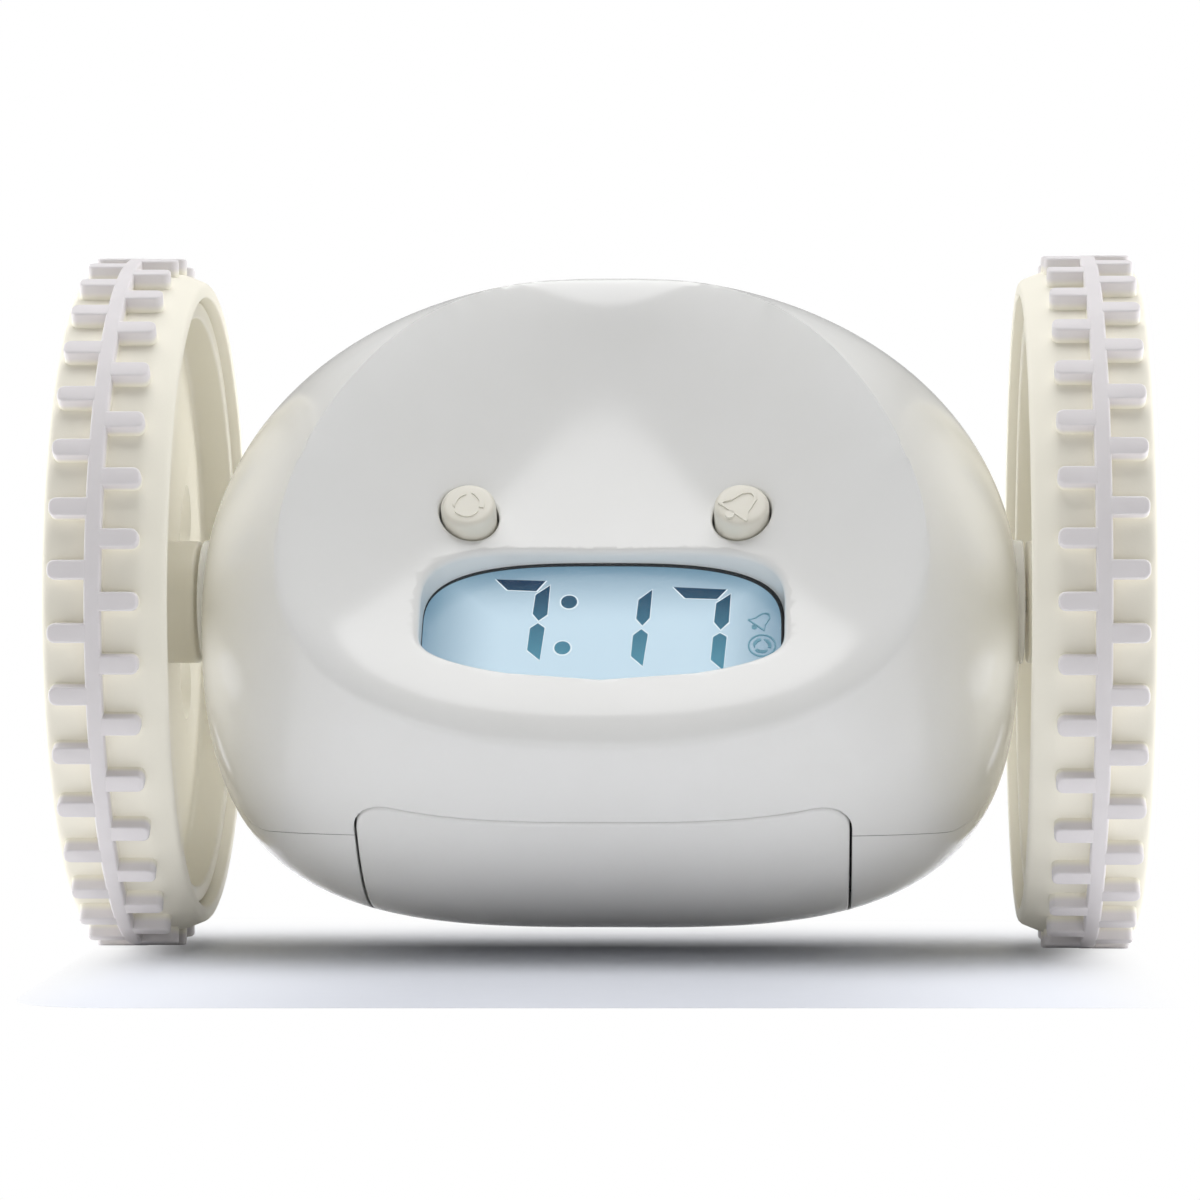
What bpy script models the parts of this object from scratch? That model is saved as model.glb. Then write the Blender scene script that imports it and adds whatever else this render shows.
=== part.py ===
"""Rolling alarm clock: an egg-shaped body with a scooped face, slung between two lugged wheels.

World frame: metres, +Z up, the floor at Z = 0 under the middle of the clock, the face towards -Y.
Places on the clock are given as side, forward and up from the middle of the wheels' common axis.
"""
import math

import bmesh
import bpy
from mathutils import Matrix, Vector

for old in list(bpy.data.objects):
    bpy.data.objects.remove(old, do_unlink=True)

MM = 0.001
GAP = 0.3 * MM              # clearance between pieces that touch or slide

# Wheels
WHEEL_RADIUS = 44.5 * MM    # to the top of a lug, and so the height of the axle
TREAD_DEPTH = 2.1 * MM
TYRE_INNER_SIDE = 52.3 * MM     # distance of the tyre's inner side from the middle of the clock
TYRE_WIDTH = 14.6 * MM
TYRE_SHOULDER = 1.2 * MM    # fall of the tread at its edges
TYRE_THICKNESS = 3.0 * MM   # under the tread
LUG_COUNT = 36              # in each of the two rows
LUG_LENGTH = 4.5 * MM       # across the tread
LUG_SHARE = 0.3             # part of the pitch that a lug fills
RIB_WIDTH = 2.0 * MM
RIB_OFFSET = 1.2 * MM       # outwards from the middle of the tyre
RIM_THICKNESS = 2.2 * MM
RIM_RECESS = 1.3 * MM       # the rim stands this far inside the tyre's sides
WEB_INSET = 5.7 * MM        # from the tyre's inner side to the web of the wheel
WEB_THICKNESS = 2.4 * MM
COLLAR_RADIUS = 7.9 * MM
COLLAR_LENGTH = 4.6 * MM
HUB_BOSS_RADIUS = 7.0 * MM
HUB_BOSS_HEIGHT = 2.6 * MM
HUB_SIDES = 24              # flats round the rim
PETAL_COUNT = 6
PETAL_START = 15.5 * MM     # nearest and furthest reach of a petal opening from the axle
PETAL_END = 27.0 * MM
PETAL_WIDTH = 9.5 * MM
PETAL_TAPER = 0.3           # how much fuller a petal is towards the rim
CAP_HEIGHT = 2.8 * MM
AXLE_RADIUS = 1.5 * MM
AXLE_HEIGHT = WHEEL_RADIUS

# Body
BODY_HALF_WIDTH = 52.4 * MM
BODY_RADIUS = 42.0 * MM
ROUNDNESS_TOP = 2.11        # exponent of the outline: 2 is an ellipse, more is squarer
ROUNDNESS_BOTTOM = 3.26
WALL = 2.0 * MM
BOSS_RADIUS = 8.0 * MM
BOSS_END = 53.0 * MM        # the end boss stops here, just short of the wheel's collar
BOSS_START = 43.8 * MM

# Scooped face: forward = lip - FACE_SLOPE * rise + rise^2 / (2 * FACE_RADIUS) + dish * side^2
LIP_UP = -15.5 * MM
LIP_SETBACK = 3.3 * MM      # the lip lies this far inside the body's radius
FACE_SLOPE = 0.95
FACE_RADIUS = 104.0 * MM    # of its hollow, up the middle
DISH_RADIUS = 111.0 * MM    # and across, at the lip
DISH_LENGTH = 56.7 * MM     # the smaller, the faster the hollow deepens upwards

# Window and display, in a plane that leans back by FACE_TILT
FACE_TILT = math.radians(38)
WINDOW_UP = -1.9 * MM
WINDOW_WIDTH = 45.0 * MM
WINDOW_ABOVE = 10.2 * MM    # reach of the window above and below its centre
WINDOW_BELOW = 9.65 * MM
WINDOW_ROUNDNESS = 3.0      # exponent of its upper half
WINDOW_CORNERS = 8.0        # and of its lower half, whose edge is bowed
WINDOW_BOW = 0.27
SLEEVE_WALL = 1.0 * MM
SLEEVE_DEPTH = 2.1 * MM
LENS_THICKNESS = 0.9 * MM
PANEL_WIDTH = 50.0 * MM
PANEL_ABOVE = 10.5 * MM     # reach of the display above and below the window's centre
PANEL_BELOW = 11.5 * MM
LCD_THICKNESS = 2.0 * MM
BACKLIGHT_THICKNESS = 1.2 * MM
BOARD_THICKNESS = 1.2 * MM
BOARD_WIDTH = 54.0 * MM
BOARD_ABOVE = 20.0 * MM
BOARD_BELOW = 12.0 * MM

# Face buttons
BUTTON_SIDE = 17.1 * MM
BUTTON_ABOVE = 14.6 * MM    # from the window's centre, up the face
BUTTON_RADIUS = 3.45 * MM
BUTTON_PROUD = 2.1 * MM
BUTTON_TRAVEL = 0.8 * MM
BUTTON_EDGE = 0.4 * MM      # chamfer of buttons and keys
GUIDE_WALL = 1.55 * MM
GUIDE_DEPTH = 1.2 * MM      # the guide ends this far behind the window's plane
FLANGE_OVERHANG = 0.35 * MM
FLANGE_THICKNESS = 0.8 * MM
STEM_RADIUS = 1.6 * MM
STEM_LENGTH = 0.6 * MM
SWITCH_WIDTH = 6.0 * MM
PLUNGER_RADIUS = 1.2 * MM
PLUNGER_HEIGHT = 0.6 * MM

# Parting line of the two shells, seen from the side
SEAM_FORWARD = 9.5 * MM
SEAM_KNEE_UP = 12.0 * MM    # above this it leans back
SEAM_LEAN = math.radians(23)
SEAM_UP = -28.9 * MM        # where it turns forward, under the face
SEAM_CORNER = 7.0 * MM

# Case screws
SCREW_SIDE = 36.0 * MM
SCREW_UPPER_UP = 25.0 * MM
SCREW_LOWER_UP = -17.0 * MM
POST_RADIUS = 4.4 * MM
SCREW_HEAD_RADIUS = 2.6 * MM
SCREW_HEAD_HEIGHT = 2.0 * MM
SCREW_RADIUS = 1.1 * MM
SCREW_REACH = 9.0 * MM      # into the front shell
POST_FLOOR = 3.0 * MM       # material under the screw's head

# Battery door, tray and cells, square to a line that points down and forward
DOOR_ANGLE = math.radians(-64.3)
DOOR_WIDTH = 61.0 * MM
DOOR_HEIGHT = 33.6 * MM
DOOR_CORNER = 4.5 * MM
NOTCH_WIDTH = 10.0 * MM
NOTCH_HEIGHT = 2.2 * MM
CELL_RADIUS = 5.25 * MM
CELL_LENGTH = 44.5 * MM
CELL_NUB_RADIUS = 1.9 * MM
CELL_NUB_HEIGHT = 0.8 * MM
CELL_COVER = 4.0 * MM       # between the door's inside and the outer cells
TRAY_WALL = 1.2 * MM
LEDGE_WIDTH = 1.5 * MM      # the tray's ends lap this far under the shells
LEDGE_THICKNESS = 1.2 * MM
CONTACT_ROOM = 4.05 * MM    # space between a cell's end and the tray's end
CONTACT_THICKNESS = 0.5 * MM
SPRING_RADIUS = 3.7 * MM    # base of the bump that presses on a cell's flat end
BUTTON_CONTACT_RADIUS = 2.1 * MM    # and of the one that meets its nub
CONTACT_TAPER = 0.7

# Drive of each wheel: two stages of compound gears between the motor's pinion and the axle
GEAR_MODULE = 0.86 * MM
BIG_TEETH = 20
SMALL_TEETH = 8
TIP_ADDENDUM = 0.8          # of the module
ROOT_DEDENDUM = 1.2         # of the module
BIG_TIP_SHARE = 0.187       # width of a tooth at its tip and root, as a share of the pitch angle
BIG_ROOT_SHARE = 0.48
SMALL_TIP_SHARE = 0.156
SMALL_ROOT_SHARE = 0.444
FIRST_MESH_ANGLE = math.radians(-75)    # from the first compound gear to the motor
SECOND_MESH_ANGLE = math.radians(205)   # from the second compound gear to the first
THIRD_MESH_ANGLE = math.radians(120)    # from the output gear to the second compound gear
GEAR_WIDTH = 3.0 * MM
GEAR_SPACE = 0.5 * MM
PIN_RADIUS = 1.2 * MM
PLATE_THICKNESS = 1.5 * MM
PLATE_MARGIN = 3.2 * MM
PLATE_BEVEL = 5.0 * MM
MOTOR_RADIUS = 10.0 * MM
MOTOR_FLATS = 15.1 * MM
MOTOR_LENGTH = 25.0 * MM
MOTOR_BOSS_RADIUS = 3.0 * MM
SHAFT_RADIUS = 1.0 * MM
SHAFT_DEPTH = 6.0 * MM      # of the shaft inside the motor
BUSH_RADIUS = 4.0 * MM
BUSH_LENGTH = 6.0 * MM
BUSH_SINK = 0.6 * MM        # below the boss's end face

# Speaker, on the lower back
SPEAKER_ANGLE = math.radians(205)
SPEAKER_RADIUS = 13.0 * MM
SPEAKER_DROP = 4.6 * MM     # from the body's radius to the speaker's front
SPEAKER_DEPTH = 3.6 * MM
SPEAKER_SKIN = 0.8 * MM
THROAT_RADIUS = 7.8 * MM
MAGNET_RADIUS = 6.5 * MM
MAGNET_HEIGHT = 1.9 * MM
RING_WALL = 1.5 * MM
SLOT_COUNT = 5
SLOT_WIDTH = 1.6 * MM
SLOT_PITCH = 3.6 * MM
GRILLE_RADIUS = 10.5 * MM

# Setting keys, on the upper back
KEY_ANGLE = math.radians(157.5)
KEY_COUNT = 4
KEY_PITCH = 12.0 * MM
KEY_RADIUS = 2.6 * MM
KEY_PROUD = 0.9 * MM
KEY_STEM_RADIUS = 1.3 * MM
KEY_TRAVEL = 0.6 * MM
KEY_BOARD_DROP = 7.3 * MM   # from the body's radius to the key board's front
KEY_BOARD_WIDTH = 48.0 * MM
KEY_BOARD_HEIGHT = 10.0 * MM
KEY_POST_RADIUS = 1.8 * MM

SCOOP_HALF_WIDTH = 56.0 * MM    # the scoop's own extent, past the body on every side
SCOOP_BOTTOM = -30.0 * MM
SCOOP_TOP = 46.0 * MM
FAR = 70.0 * MM             # a cutter this long passes right through
WELD_DISTANCE = 0.0005 * MM
FLAT_ANGLE = math.radians(0.05)

workshop = bpy.data.collections.new("workshop")
clock = bpy.data.collections.new("rolling_alarm_clock")
for collection in (workshop, clock):
    bpy.context.scene.collection.children.link(collection)


# Materials

def material(name, colour, roughness, metallic=0.0, alpha=1.0):
    made = bpy.data.materials.new(name)
    made.use_nodes = True
    shader = made.node_tree.nodes["Principled BSDF"]
    shader.inputs["Base Color"].default_value = (*colour, 1.0)
    shader.inputs["Roughness"].default_value = roughness
    shader.inputs["Metallic"].default_value = metallic
    shader.inputs["Alpha"].default_value = alpha
    return made


ivory_abs = material("ivory_abs", (0.80, 0.79, 0.74), 0.22)
cream_abs = material("cream_abs", (0.79, 0.75, 0.63), 0.35)
tyre_rubber = material("tyre_rubber", (0.74, 0.72, 0.73), 0.70)
clear_acrylic = material("clear_acrylic", (0.90, 0.94, 0.96), 0.05, alpha=0.35)
display_glass = material("display_glass", (0.36, 0.60, 0.74), 0.15)
diffuser_acrylic = material("diffuser_acrylic", (0.62, 0.82, 0.92), 0.40)
board_laminate = material("board_laminate", (0.05, 0.25, 0.10), 0.50)
black_plastic = material("black_plastic", (0.02, 0.02, 0.02), 0.45)
steel = material("steel", (0.62, 0.62, 0.64), 0.30, 1.0)
motor_can = material("motor_can", (0.70, 0.70, 0.72), 0.35, 1.0)
sintered_bronze = material("sintered_bronze", (0.60, 0.42, 0.22), 0.45, 1.0)
gear_nylon = material("gear_nylon", (0.85, 0.84, 0.80), 0.50)
cell_jacket = material("cell_jacket", (0.12, 0.16, 0.20), 0.35, 0.6)
speaker_paper = material("speaker_paper", (0.03, 0.03, 0.03), 0.90)


# Places and directions

def place(side, forward, up):
    return Vector((side, -forward, AXLE_HEIGHT + up))


def ray(angle):
    """Unit vector square to the axle, at an angle above straight ahead."""
    return Vector((0, -math.cos(angle), math.sin(angle)))


def plane_on(origin, normal):
    """Frame whose X runs sideways and whose Z is the normal."""
    across = Vector((1, 0, 0))
    frame = Matrix((across, normal.cross(across), normal)).transposed().to_4x4()
    frame.translation = origin
    return frame


def side_plane(side):
    """Frame square to the axle: X forward and Y up, so that outlines read as seen from the left."""
    frame = Matrix(((0, -1, 0), (0, 0, 1), (-1, 0, 0))).transposed().to_4x4()
    frame.translation = place(side, 0, 0)
    return frame


def outward(sign, forward=0.0, up=0.0):
    """Frame whose Z runs from the middle of the clock out to one side."""
    frame = Matrix(((0, sign, 0), (0, 0, 1), (sign, 0, 0))).transposed().to_4x4()
    frame.translation = place(0, forward, up)
    return frame


# Modelling tools

def new_object(mesh, matrix=None):
    if matrix is not None:
        mesh.transform(matrix)
    made = bpy.data.objects.new("blank", mesh)
    made.hide_render = True
    made.display_type = "WIRE"
    workshop.objects.link(made)
    return made


def from_bmesh(bm, matrix=None, recalculate=False):
    if recalculate:
        bmesh.ops.recalc_face_normals(bm, faces=bm.faces)
    mesh = bpy.data.meshes.new("blank")
    bm.to_mesh(mesh)
    bm.free()
    return new_object(mesh, matrix)


def bake(target):
    """Turn an object's evaluated shape into its own mesh."""
    depsgraph = bpy.context.evaluated_depsgraph_get()
    mesh = bpy.data.meshes.new_from_object(target.evaluated_get(depsgraph))
    target.modifiers.clear()
    target.data = mesh
    return target


def weld(target):
    """Close up corners that a cut leaves a fraction of a micron apart, and clear splits in flat faces."""
    bm = bmesh.new()
    bm.from_mesh(target.data)
    bmesh.ops.remove_doubles(bm, verts=bm.verts, dist=WELD_DISTANCE)
    bmesh.ops.dissolve_degenerate(bm, edges=bm.edges, dist=WELD_DISTANCE)
    bmesh.ops.dissolve_limit(bm, angle_limit=FLAT_ANGLE, verts=bm.verts, edges=bm.edges)
    bm.to_mesh(target.data)
    bm.free()


def boolean(target, operation, tools):
    """Cut, join or keep with all the tools in one go, and use them up."""
    group = bpy.data.collections.new("tools")
    for tool in tools:
        group.objects.link(tool)
    modifier = target.modifiers.new(operation.lower(), "BOOLEAN")
    modifier.operation = operation
    modifier.solver = "EXACT"
    modifier.operand_type = "COLLECTION"
    modifier.collection = group
    bake(target)
    weld(target)
    for tool in tools:
        bpy.data.objects.remove(tool, do_unlink=True)
    bpy.data.collections.remove(group)
    return target


def cut(target, *tools):
    return boolean(target, "DIFFERENCE", tools)


def join(target, *tools):
    return boolean(target, "UNION", tools)


def keep(target, *tools):
    return boolean(target, "INTERSECT", tools)


def twin(source):
    return new_object(source.data.copy())


def box(width, height, low, high, frame, centre=(0.0, 0.0)):
    """Block of a width and height in the frame's plane, from low to high along its normal."""
    bm = bmesh.new()
    middle = Vector((centre[0], centre[1], (low + high) / 2))
    size = Matrix.Diagonal((width, height, high - low, 1))
    bmesh.ops.create_cube(bm, size=1, matrix=Matrix.Translation(middle) @ size)
    return from_bmesh(bm, frame)


def rod(radius, low, high, frame, centre=(0.0, 0.0), end_radius=None, sides=24):
    """Cylinder or cone along the frame's Z."""
    bm = bmesh.new()
    middle = Matrix.Translation((centre[0], centre[1], (low + high) / 2))
    tip = radius if end_radius is None else end_radius
    bmesh.ops.create_cone(bm, cap_ends=True, segments=sides, radius1=radius, radius2=tip,
                          depth=high - low, matrix=middle)
    return from_bmesh(bm, frame)


def turned(profile, frame, sides=24, closed=False):
    """Solid of revolution about the frame's Z, from (radius, height) points."""
    bm = bmesh.new()
    points = [bm.verts.new((radius, 0, height)) for radius, height in profile]
    ends = points[1:] + points[:1] if closed else points[1:]
    for start, end in zip(points, ends):
        bm.edges.new((start, end))
    made = from_bmesh(bm)
    screw = made.modifiers.new("turn", "SCREW")
    screw.axis = "Z"
    screw.steps = screw.render_steps = sides
    screw.use_merge_vertices = True
    screw.merge_threshold = 1e-6
    bake(made)
    bm = bmesh.new()
    bm.from_mesh(made.data)
    bpy.data.objects.remove(made, do_unlink=True)
    return from_bmesh(bm, frame, recalculate=True)


def plate(outline, low, high, frame):
    """Flat piece cut to an outline, from low to high along the frame's Z."""
    curve = bpy.data.curves.new("outline", "CURVE")
    curve.dimensions = "2D"
    curve.fill_mode = "BOTH"
    curve.extrude = (high - low) / 2
    spline = curve.splines.new("POLY")
    spline.points.add(len(outline) - 1)
    for point, (across, along) in zip(spline.points, outline):
        point.co = (across, along, 0, 1)
    spline.use_cyclic_u = True
    holder = bpy.data.objects.new("outline", curve)
    workshop.objects.link(holder)
    depsgraph = bpy.context.evaluated_depsgraph_get()
    mesh = bpy.data.meshes.new_from_object(holder.evaluated_get(depsgraph))
    bpy.data.objects.remove(holder, do_unlink=True)
    bm = bmesh.new()
    bm.from_mesh(mesh)
    bmesh.ops.remove_doubles(bm, verts=bm.verts, dist=1e-6)
    middle = Matrix.Translation((0, 0, (low + high) / 2))
    return from_bmesh(bm, frame @ middle, recalculate=True)


def arc(centre, radius, start, end, steps):
    """Points on an arc, its angles in degrees."""
    points = []
    for step in range(steps + 1):
        angle = math.radians(start + (end - start) * step / steps)
        points.append((centre[0] + radius * math.cos(angle), centre[1] + radius * math.sin(angle)))
    return points


def rounded_rectangle(width, height, corner, steps=3):
    outline = []
    quarters = ((1, 1, 0), (-1, 1, 90), (-1, -1, 180), (1, -1, 270))
    for right, top, start in quarters:
        centre = (right * (width / 2 - corner), top * (height / 2 - corner))
        outline += arc(centre, corner, start, start + 90, steps)
    return outline


def window_outline(margin, count=28):
    """Rounded lens shape of the display window, grown or shrunk by a margin."""
    outline = []
    for step in range(count):
        angle = 2 * math.pi * step / count
        power, reach, bow = WINDOW_ROUNDNESS, WINDOW_ABOVE, 0.0
        if angle > math.pi:
            power, reach, bow = WINDOW_CORNERS, WINDOW_BELOW, WINDOW_BOW
        cosine, sine = math.cos(angle), math.sin(angle)
        across = math.copysign(abs(cosine) ** (2 / power), cosine)
        along = math.copysign(abs(sine) ** (2 / power), sine) * (1 - bow * across ** 2)
        outline.append((across * (WINDOW_WIDTH / 2 + margin), along * (reach + margin)))
    return outline


def finish(made, name, finish_material, pivot=None, sharp=30.0):
    """Name a piece, give it its material, and put its origin on its pivot or in its middle."""
    corners = [Vector(corner) for corner in made.bound_box]
    origin = pivot if pivot is not None else sum(corners, Vector()) / 8
    made.data.transform(Matrix.Translation(-origin))
    made.location = origin
    made.name = made.data.name = name
    made.data.materials.clear()
    made.data.materials.append(finish_material)
    made.data.shade_smooth()
    made.data.set_sharp_from_angle(angle=math.radians(sharp))
    made.hide_render = False
    made.display_type = "TEXTURED"
    workshop.objects.unlink(made)
    clock.objects.link(made)
    return made


# The body's surface

def face_forward(side, up):
    """How far ahead of the axle the scooped face lies."""
    rise = up - LIP_UP
    middle = BODY_RADIUS - LIP_SETBACK - FACE_SLOPE * rise + rise ** 2 / (2 * FACE_RADIUS)
    return middle + side ** 2 / (2 * DISH_RADIUS) + (rise * side) ** 2 / DISH_LENGTH ** 3


def roundness(lean):
    """Exponent of the outline in a direction, from straight down (-1) to straight up (1)."""
    return (ROUNDNESS_TOP + ROUNDNESS_BOTTOM + (ROUNDNESS_TOP - ROUNDNESS_BOTTOM) * lean) / 2


def egg(inset, around=36, along=18):
    """The body before its face is scooped out, smaller all round by an inset. Its poles are on the axle."""
    bm = bmesh.new()
    bmesh.ops.create_uvsphere(bm, u_segments=around, v_segments=along, radius=1)
    for vert in bm.verts:
        side, back, up = vert.co.z, vert.co.x, vert.co.y
        reach = math.hypot(back, up)
        power = roundness(up / reach if reach > 1e-6 else 0.0)
        share = (abs(side) / (BODY_HALF_WIDTH - inset)) ** power + (reach / (BODY_RADIUS - inset)) ** power
        vert.co = place(0, 0, 0) + Vector((side, back, up)) * share ** (-1 / power)
    bmesh.ops.triangulate(bm, faces=bm.faces, quad_method="FIXED")
    return from_bmesh(bm)


def scoop(inset, across=14, along=11):
    """What is taken away in front of the face, which an inset moves back along its normal."""
    bm = bmesh.new()
    bmesh.ops.create_grid(bm, x_segments=across, y_segments=along, size=1)
    step = 0.1 * MM
    for vert in bm.verts:
        side = vert.co.x * SCOOP_HALF_WIDTH
        up = SCOOP_BOTTOM + (SCOOP_TOP - SCOOP_BOTTOM) * (vert.co.y + 1) / 2
        level = face_forward(side, up)
        slope = (face_forward(side, up + step) - level) / step
        swing = (face_forward(side + step, up) - level) / step
        vert.co = place(side, level - inset * math.sqrt(1 + slope ** 2 + swing ** 2), up)
    bmesh.ops.triangulate(bm, faces=bm.faces, quad_method="FIXED")
    grown = bmesh.ops.extrude_face_region(bm, geom=bm.faces[:], use_keep_orig=True)
    front = [item for item in grown["geom"] if isinstance(item, bmesh.types.BMVert)]
    bmesh.ops.translate(bm, verts=front, vec=(0, -FAR, 0))
    return from_bmesh(bm, recalculate=True)


def body_solid(inset=0.0):
    """The body with its scooped face, smaller all round by an inset."""
    return cut(egg(inset), scoop(inset))


def girth(side, angle):
    """Radius of the uncut egg square to the axle, at a place along it."""
    power = roundness(math.sin(angle))
    return BODY_RADIUS * (1 - (side / BODY_HALF_WIDTH) ** power) ** (1 / power)


# Frames of the face, the door, the speaker and the keys

face_plane = plane_on(place(0, face_forward(0, WINDOW_UP), WINDOW_UP), ray(FACE_TILT))
door_plane = plane_on(place(0, 0, 0), ray(DOOR_ANGLE))
speaker_plane = plane_on(place(0, 0, 0), ray(SPEAKER_ANGLE))
key_plane = plane_on(place(0, 0, 0), ray(KEY_ANGLE))


def face_height(across, along):
    """Height of the face's surface above the window's plane, at a place in that plane."""
    low, high = -15 * MM, 15 * MM
    for _ in range(40):
        middle = (low + high) / 2
        spot = face_plane @ Vector((across, along, middle))
        if -spot.y > face_forward(spot.x, spot.z - AXLE_HEIGHT):
            high = middle
        else:
            low = middle
    return low


button_height = face_height(BUTTON_SIDE, BUTTON_ABOVE)
guide_hole = BUTTON_RADIUS + GAP
guide_end = -GUIDE_DEPTH
key_sides = [KEY_PITCH * (number - (KEY_COUNT - 1) / 2) for number in range(KEY_COUNT)]
key_post_sides = [(key_sides[0] + key_sides[1]) / 2, (key_sides[-2] + key_sides[-1]) / 2]
key_board_front = BODY_RADIUS - KEY_BOARD_DROP
speaker_front = BODY_RADIUS - SPEAKER_DROP
speaker_back = speaker_front - SPEAKER_DEPTH
screw_spots = [(sign * SCREW_SIDE, up) for up in (SCREW_UPPER_UP, SCREW_LOWER_UP) for sign in (-1, 1)]
screw_plane = plane_on(place(0, 0, 0), Vector((0, 1, 0)))


def seam_forward(up):
    return SEAM_FORWARD - max(up - SEAM_KNEE_UP, 0.0) * math.tan(SEAM_LEAN)


# Casing shells

def seam_block(shift):
    """Everything behind and under the parting line, which moves back and down by a shift."""
    corner = (SEAM_FORWARD + SEAM_CORNER, SEAM_UP + SEAM_CORNER)
    line = [(seam_forward(FAR), FAR), (SEAM_FORWARD, SEAM_KNEE_UP)]
    line += arc(corner, SEAM_CORNER, 180, 270, 5)
    line += [(FAR, SEAM_UP), (FAR, -FAR), (-FAR, -FAR), (-FAR, FAR)]
    return plate([(forward - shift, up - shift) for forward, up in line], -FAR, FAR, side_plane(0))


def door_prism(margin):
    outline = rounded_rectangle(DOOR_WIDTH + 2 * margin, DOOR_HEIGHT + 2 * margin, DOOR_CORNER + margin)
    return plate(outline, BODY_RADIUS / 3, FAR, door_plane)


def casing():
    """Both shells in one, with the posts, guides and rings inside it and every hole but the door's."""
    ring_inner = SPEAKER_RADIUS + GAP
    ring = [(ring_inner, speaker_back), (ring_inner + RING_WALL, speaker_back),
            (ring_inner + RING_WALL, FAR), (ring_inner, FAR)]
    kept = [plate(window_outline(SLEEVE_WALL), -SLEEVE_DEPTH, FAR, face_plane),
            turned(ring, speaker_plane, sides=20, closed=True)]
    holes = [plate(window_outline(0), -2 * WINDOW_ABOVE, FAR, face_plane)]
    for sign in (-1, 1):
        spot = (sign * BUTTON_SIDE, BUTTON_ABOVE)
        kept.append(rod(guide_hole + GUIDE_WALL, guide_end, FAR, face_plane, spot, sides=16))
        holes.append(rod(guide_hole, -2 * WINDOW_ABOVE, FAR, face_plane, spot, sides=20))
        kept.append(rod(BOSS_RADIUS, BOSS_START, FAR, outward(sign), sides=20))
        holes.append(rod(BUSH_RADIUS + GAP, BOSS_START - GAP, FAR, outward(sign), sides=16))
    for side, up in screw_spots:
        spot = (side, -up)
        kept.append(rod(POST_RADIUS, -FAR, FAR, screw_plane, spot, sides=12))
        head_seat = POST_FLOOR - seam_forward(up)
        screw_end = head_seat - POST_FLOOR - SCREW_REACH - GAP
        holes.append(rod(SCREW_HEAD_RADIUS + GAP, head_seat, FAR, screw_plane, spot, sides=12))
        holes.append(rod(SCREW_RADIUS + GAP, screw_end, head_seat + GAP, screw_plane, spot, sides=8))
    for side in key_post_sides:
        kept.append(rod(KEY_POST_RADIUS, key_board_front + GAP, FAR, key_plane, (side, 0), sides=8))
    for side in key_sides:
        holes.append(rod(KEY_RADIUS + GAP, key_board_front, FAR, key_plane, (side, 0), sides=12))
    for number in range(SLOT_COUNT):
        offset = SLOT_PITCH * (number - (SLOT_COUNT - 1) / 2)
        length = 2 * math.sqrt(GRILLE_RADIUS ** 2 - offset ** 2)
        holes.append(box(length, SLOT_WIDTH, speaker_front, FAR, speaker_plane, (0, offset)))

    bosses = [rod(BOSS_RADIUS, BOSS_START, BOSS_END, outward(sign), sides=20) for sign in (-1, 1)]
    body = join(body_solid(), *bosses)
    return cut(body, cut(body_solid(WALL), *kept), *holes)


whole = casing()
front = cut(twin(whole), seam_block(0), door_prism(GAP))
rear = cut(keep(whole, seam_block(GAP)), door_prism(GAP))
finish(front, "front_shell", ivory_abs)
finish(rear, "rear_shell", ivory_abs)


# Display and main board

def display_stack():
    """Lens, display, backlight and board, one behind the other behind the window."""
    lens_back = -SLEEVE_DEPTH
    lens = plate(window_outline(-GAP), lens_back, lens_back + LENS_THICKNESS, face_plane)
    finish(lens, "display_lens", clear_acrylic)
    panel_centre = (0, (PANEL_ABOVE - PANEL_BELOW) / 2)
    panel_height = PANEL_ABOVE + PANEL_BELOW
    front_of_next = -SLEEVE_DEPTH - GAP
    for name, thickness, made_of in (("lcd_panel", LCD_THICKNESS, display_glass),
                                     ("lcd_backlight", BACKLIGHT_THICKNESS, diffuser_acrylic)):
        panel = box(PANEL_WIDTH, panel_height, front_of_next - thickness, front_of_next, face_plane,
                    panel_centre)
        finish(panel, name, made_of)
        front_of_next -= thickness + GAP
    board = box(BOARD_WIDTH, BOARD_ABOVE + BOARD_BELOW, front_of_next - BOARD_THICKNESS, front_of_next,
                face_plane, (0, (BOARD_ABOVE - BOARD_BELOW) / 2))
    finish(board, "main_pcb", board_laminate)
    return front_of_next


board_front = display_stack()


def face_button(sign, name):
    """Round cap with a retaining flange, flat on the side next to the display, and its short stem."""
    top = button_height + BUTTON_PROUD
    flange_top = guide_end - GAP
    flange_radius = guide_hole + FLANGE_OVERHANG
    flange_bottom = flange_top - FLANGE_THICKNESS
    stem_end = flange_bottom - STEM_LENGTH
    profile = [(0, top), (BUTTON_RADIUS - BUTTON_EDGE, top), (BUTTON_RADIUS, top - BUTTON_EDGE),
               (BUTTON_RADIUS, flange_top), (flange_radius, flange_top), (flange_radius, flange_bottom),
               (STEM_RADIUS, flange_bottom), (STEM_RADIUS, stem_end), (0, stem_end)]
    spot = (sign * BUTTON_SIDE, BUTTON_ABOVE)
    frame = face_plane @ Matrix.Translation((*spot, 0))
    button = turned(profile, frame, sides=16)
    panel_edge = PANEL_ABOVE + GAP
    cut(button, box(4 * BUTTON_RADIUS, 2 * BUTTON_RADIUS, -2 * WINDOW_ABOVE, guide_end, face_plane,
                    (spot[0], panel_edge - BUTTON_RADIUS)))
    finish(button, name + "_button", cream_abs, pivot=frame.translation)
    switch_top = stem_end - BUTTON_TRAVEL - GAP
    body_top = switch_top - PLUNGER_HEIGHT
    switch = box(SWITCH_WIDTH, SWITCH_WIDTH, board_front + GAP, body_top, frame)
    join(switch, rod(PLUNGER_RADIUS, body_top - GAP, switch_top, frame, sides=12))
    finish(switch, name + "_switch", black_plastic)


face_button(-1, "snooze")
face_button(1, "alarm")


# Battery door, tray, cells and contacts

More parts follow.
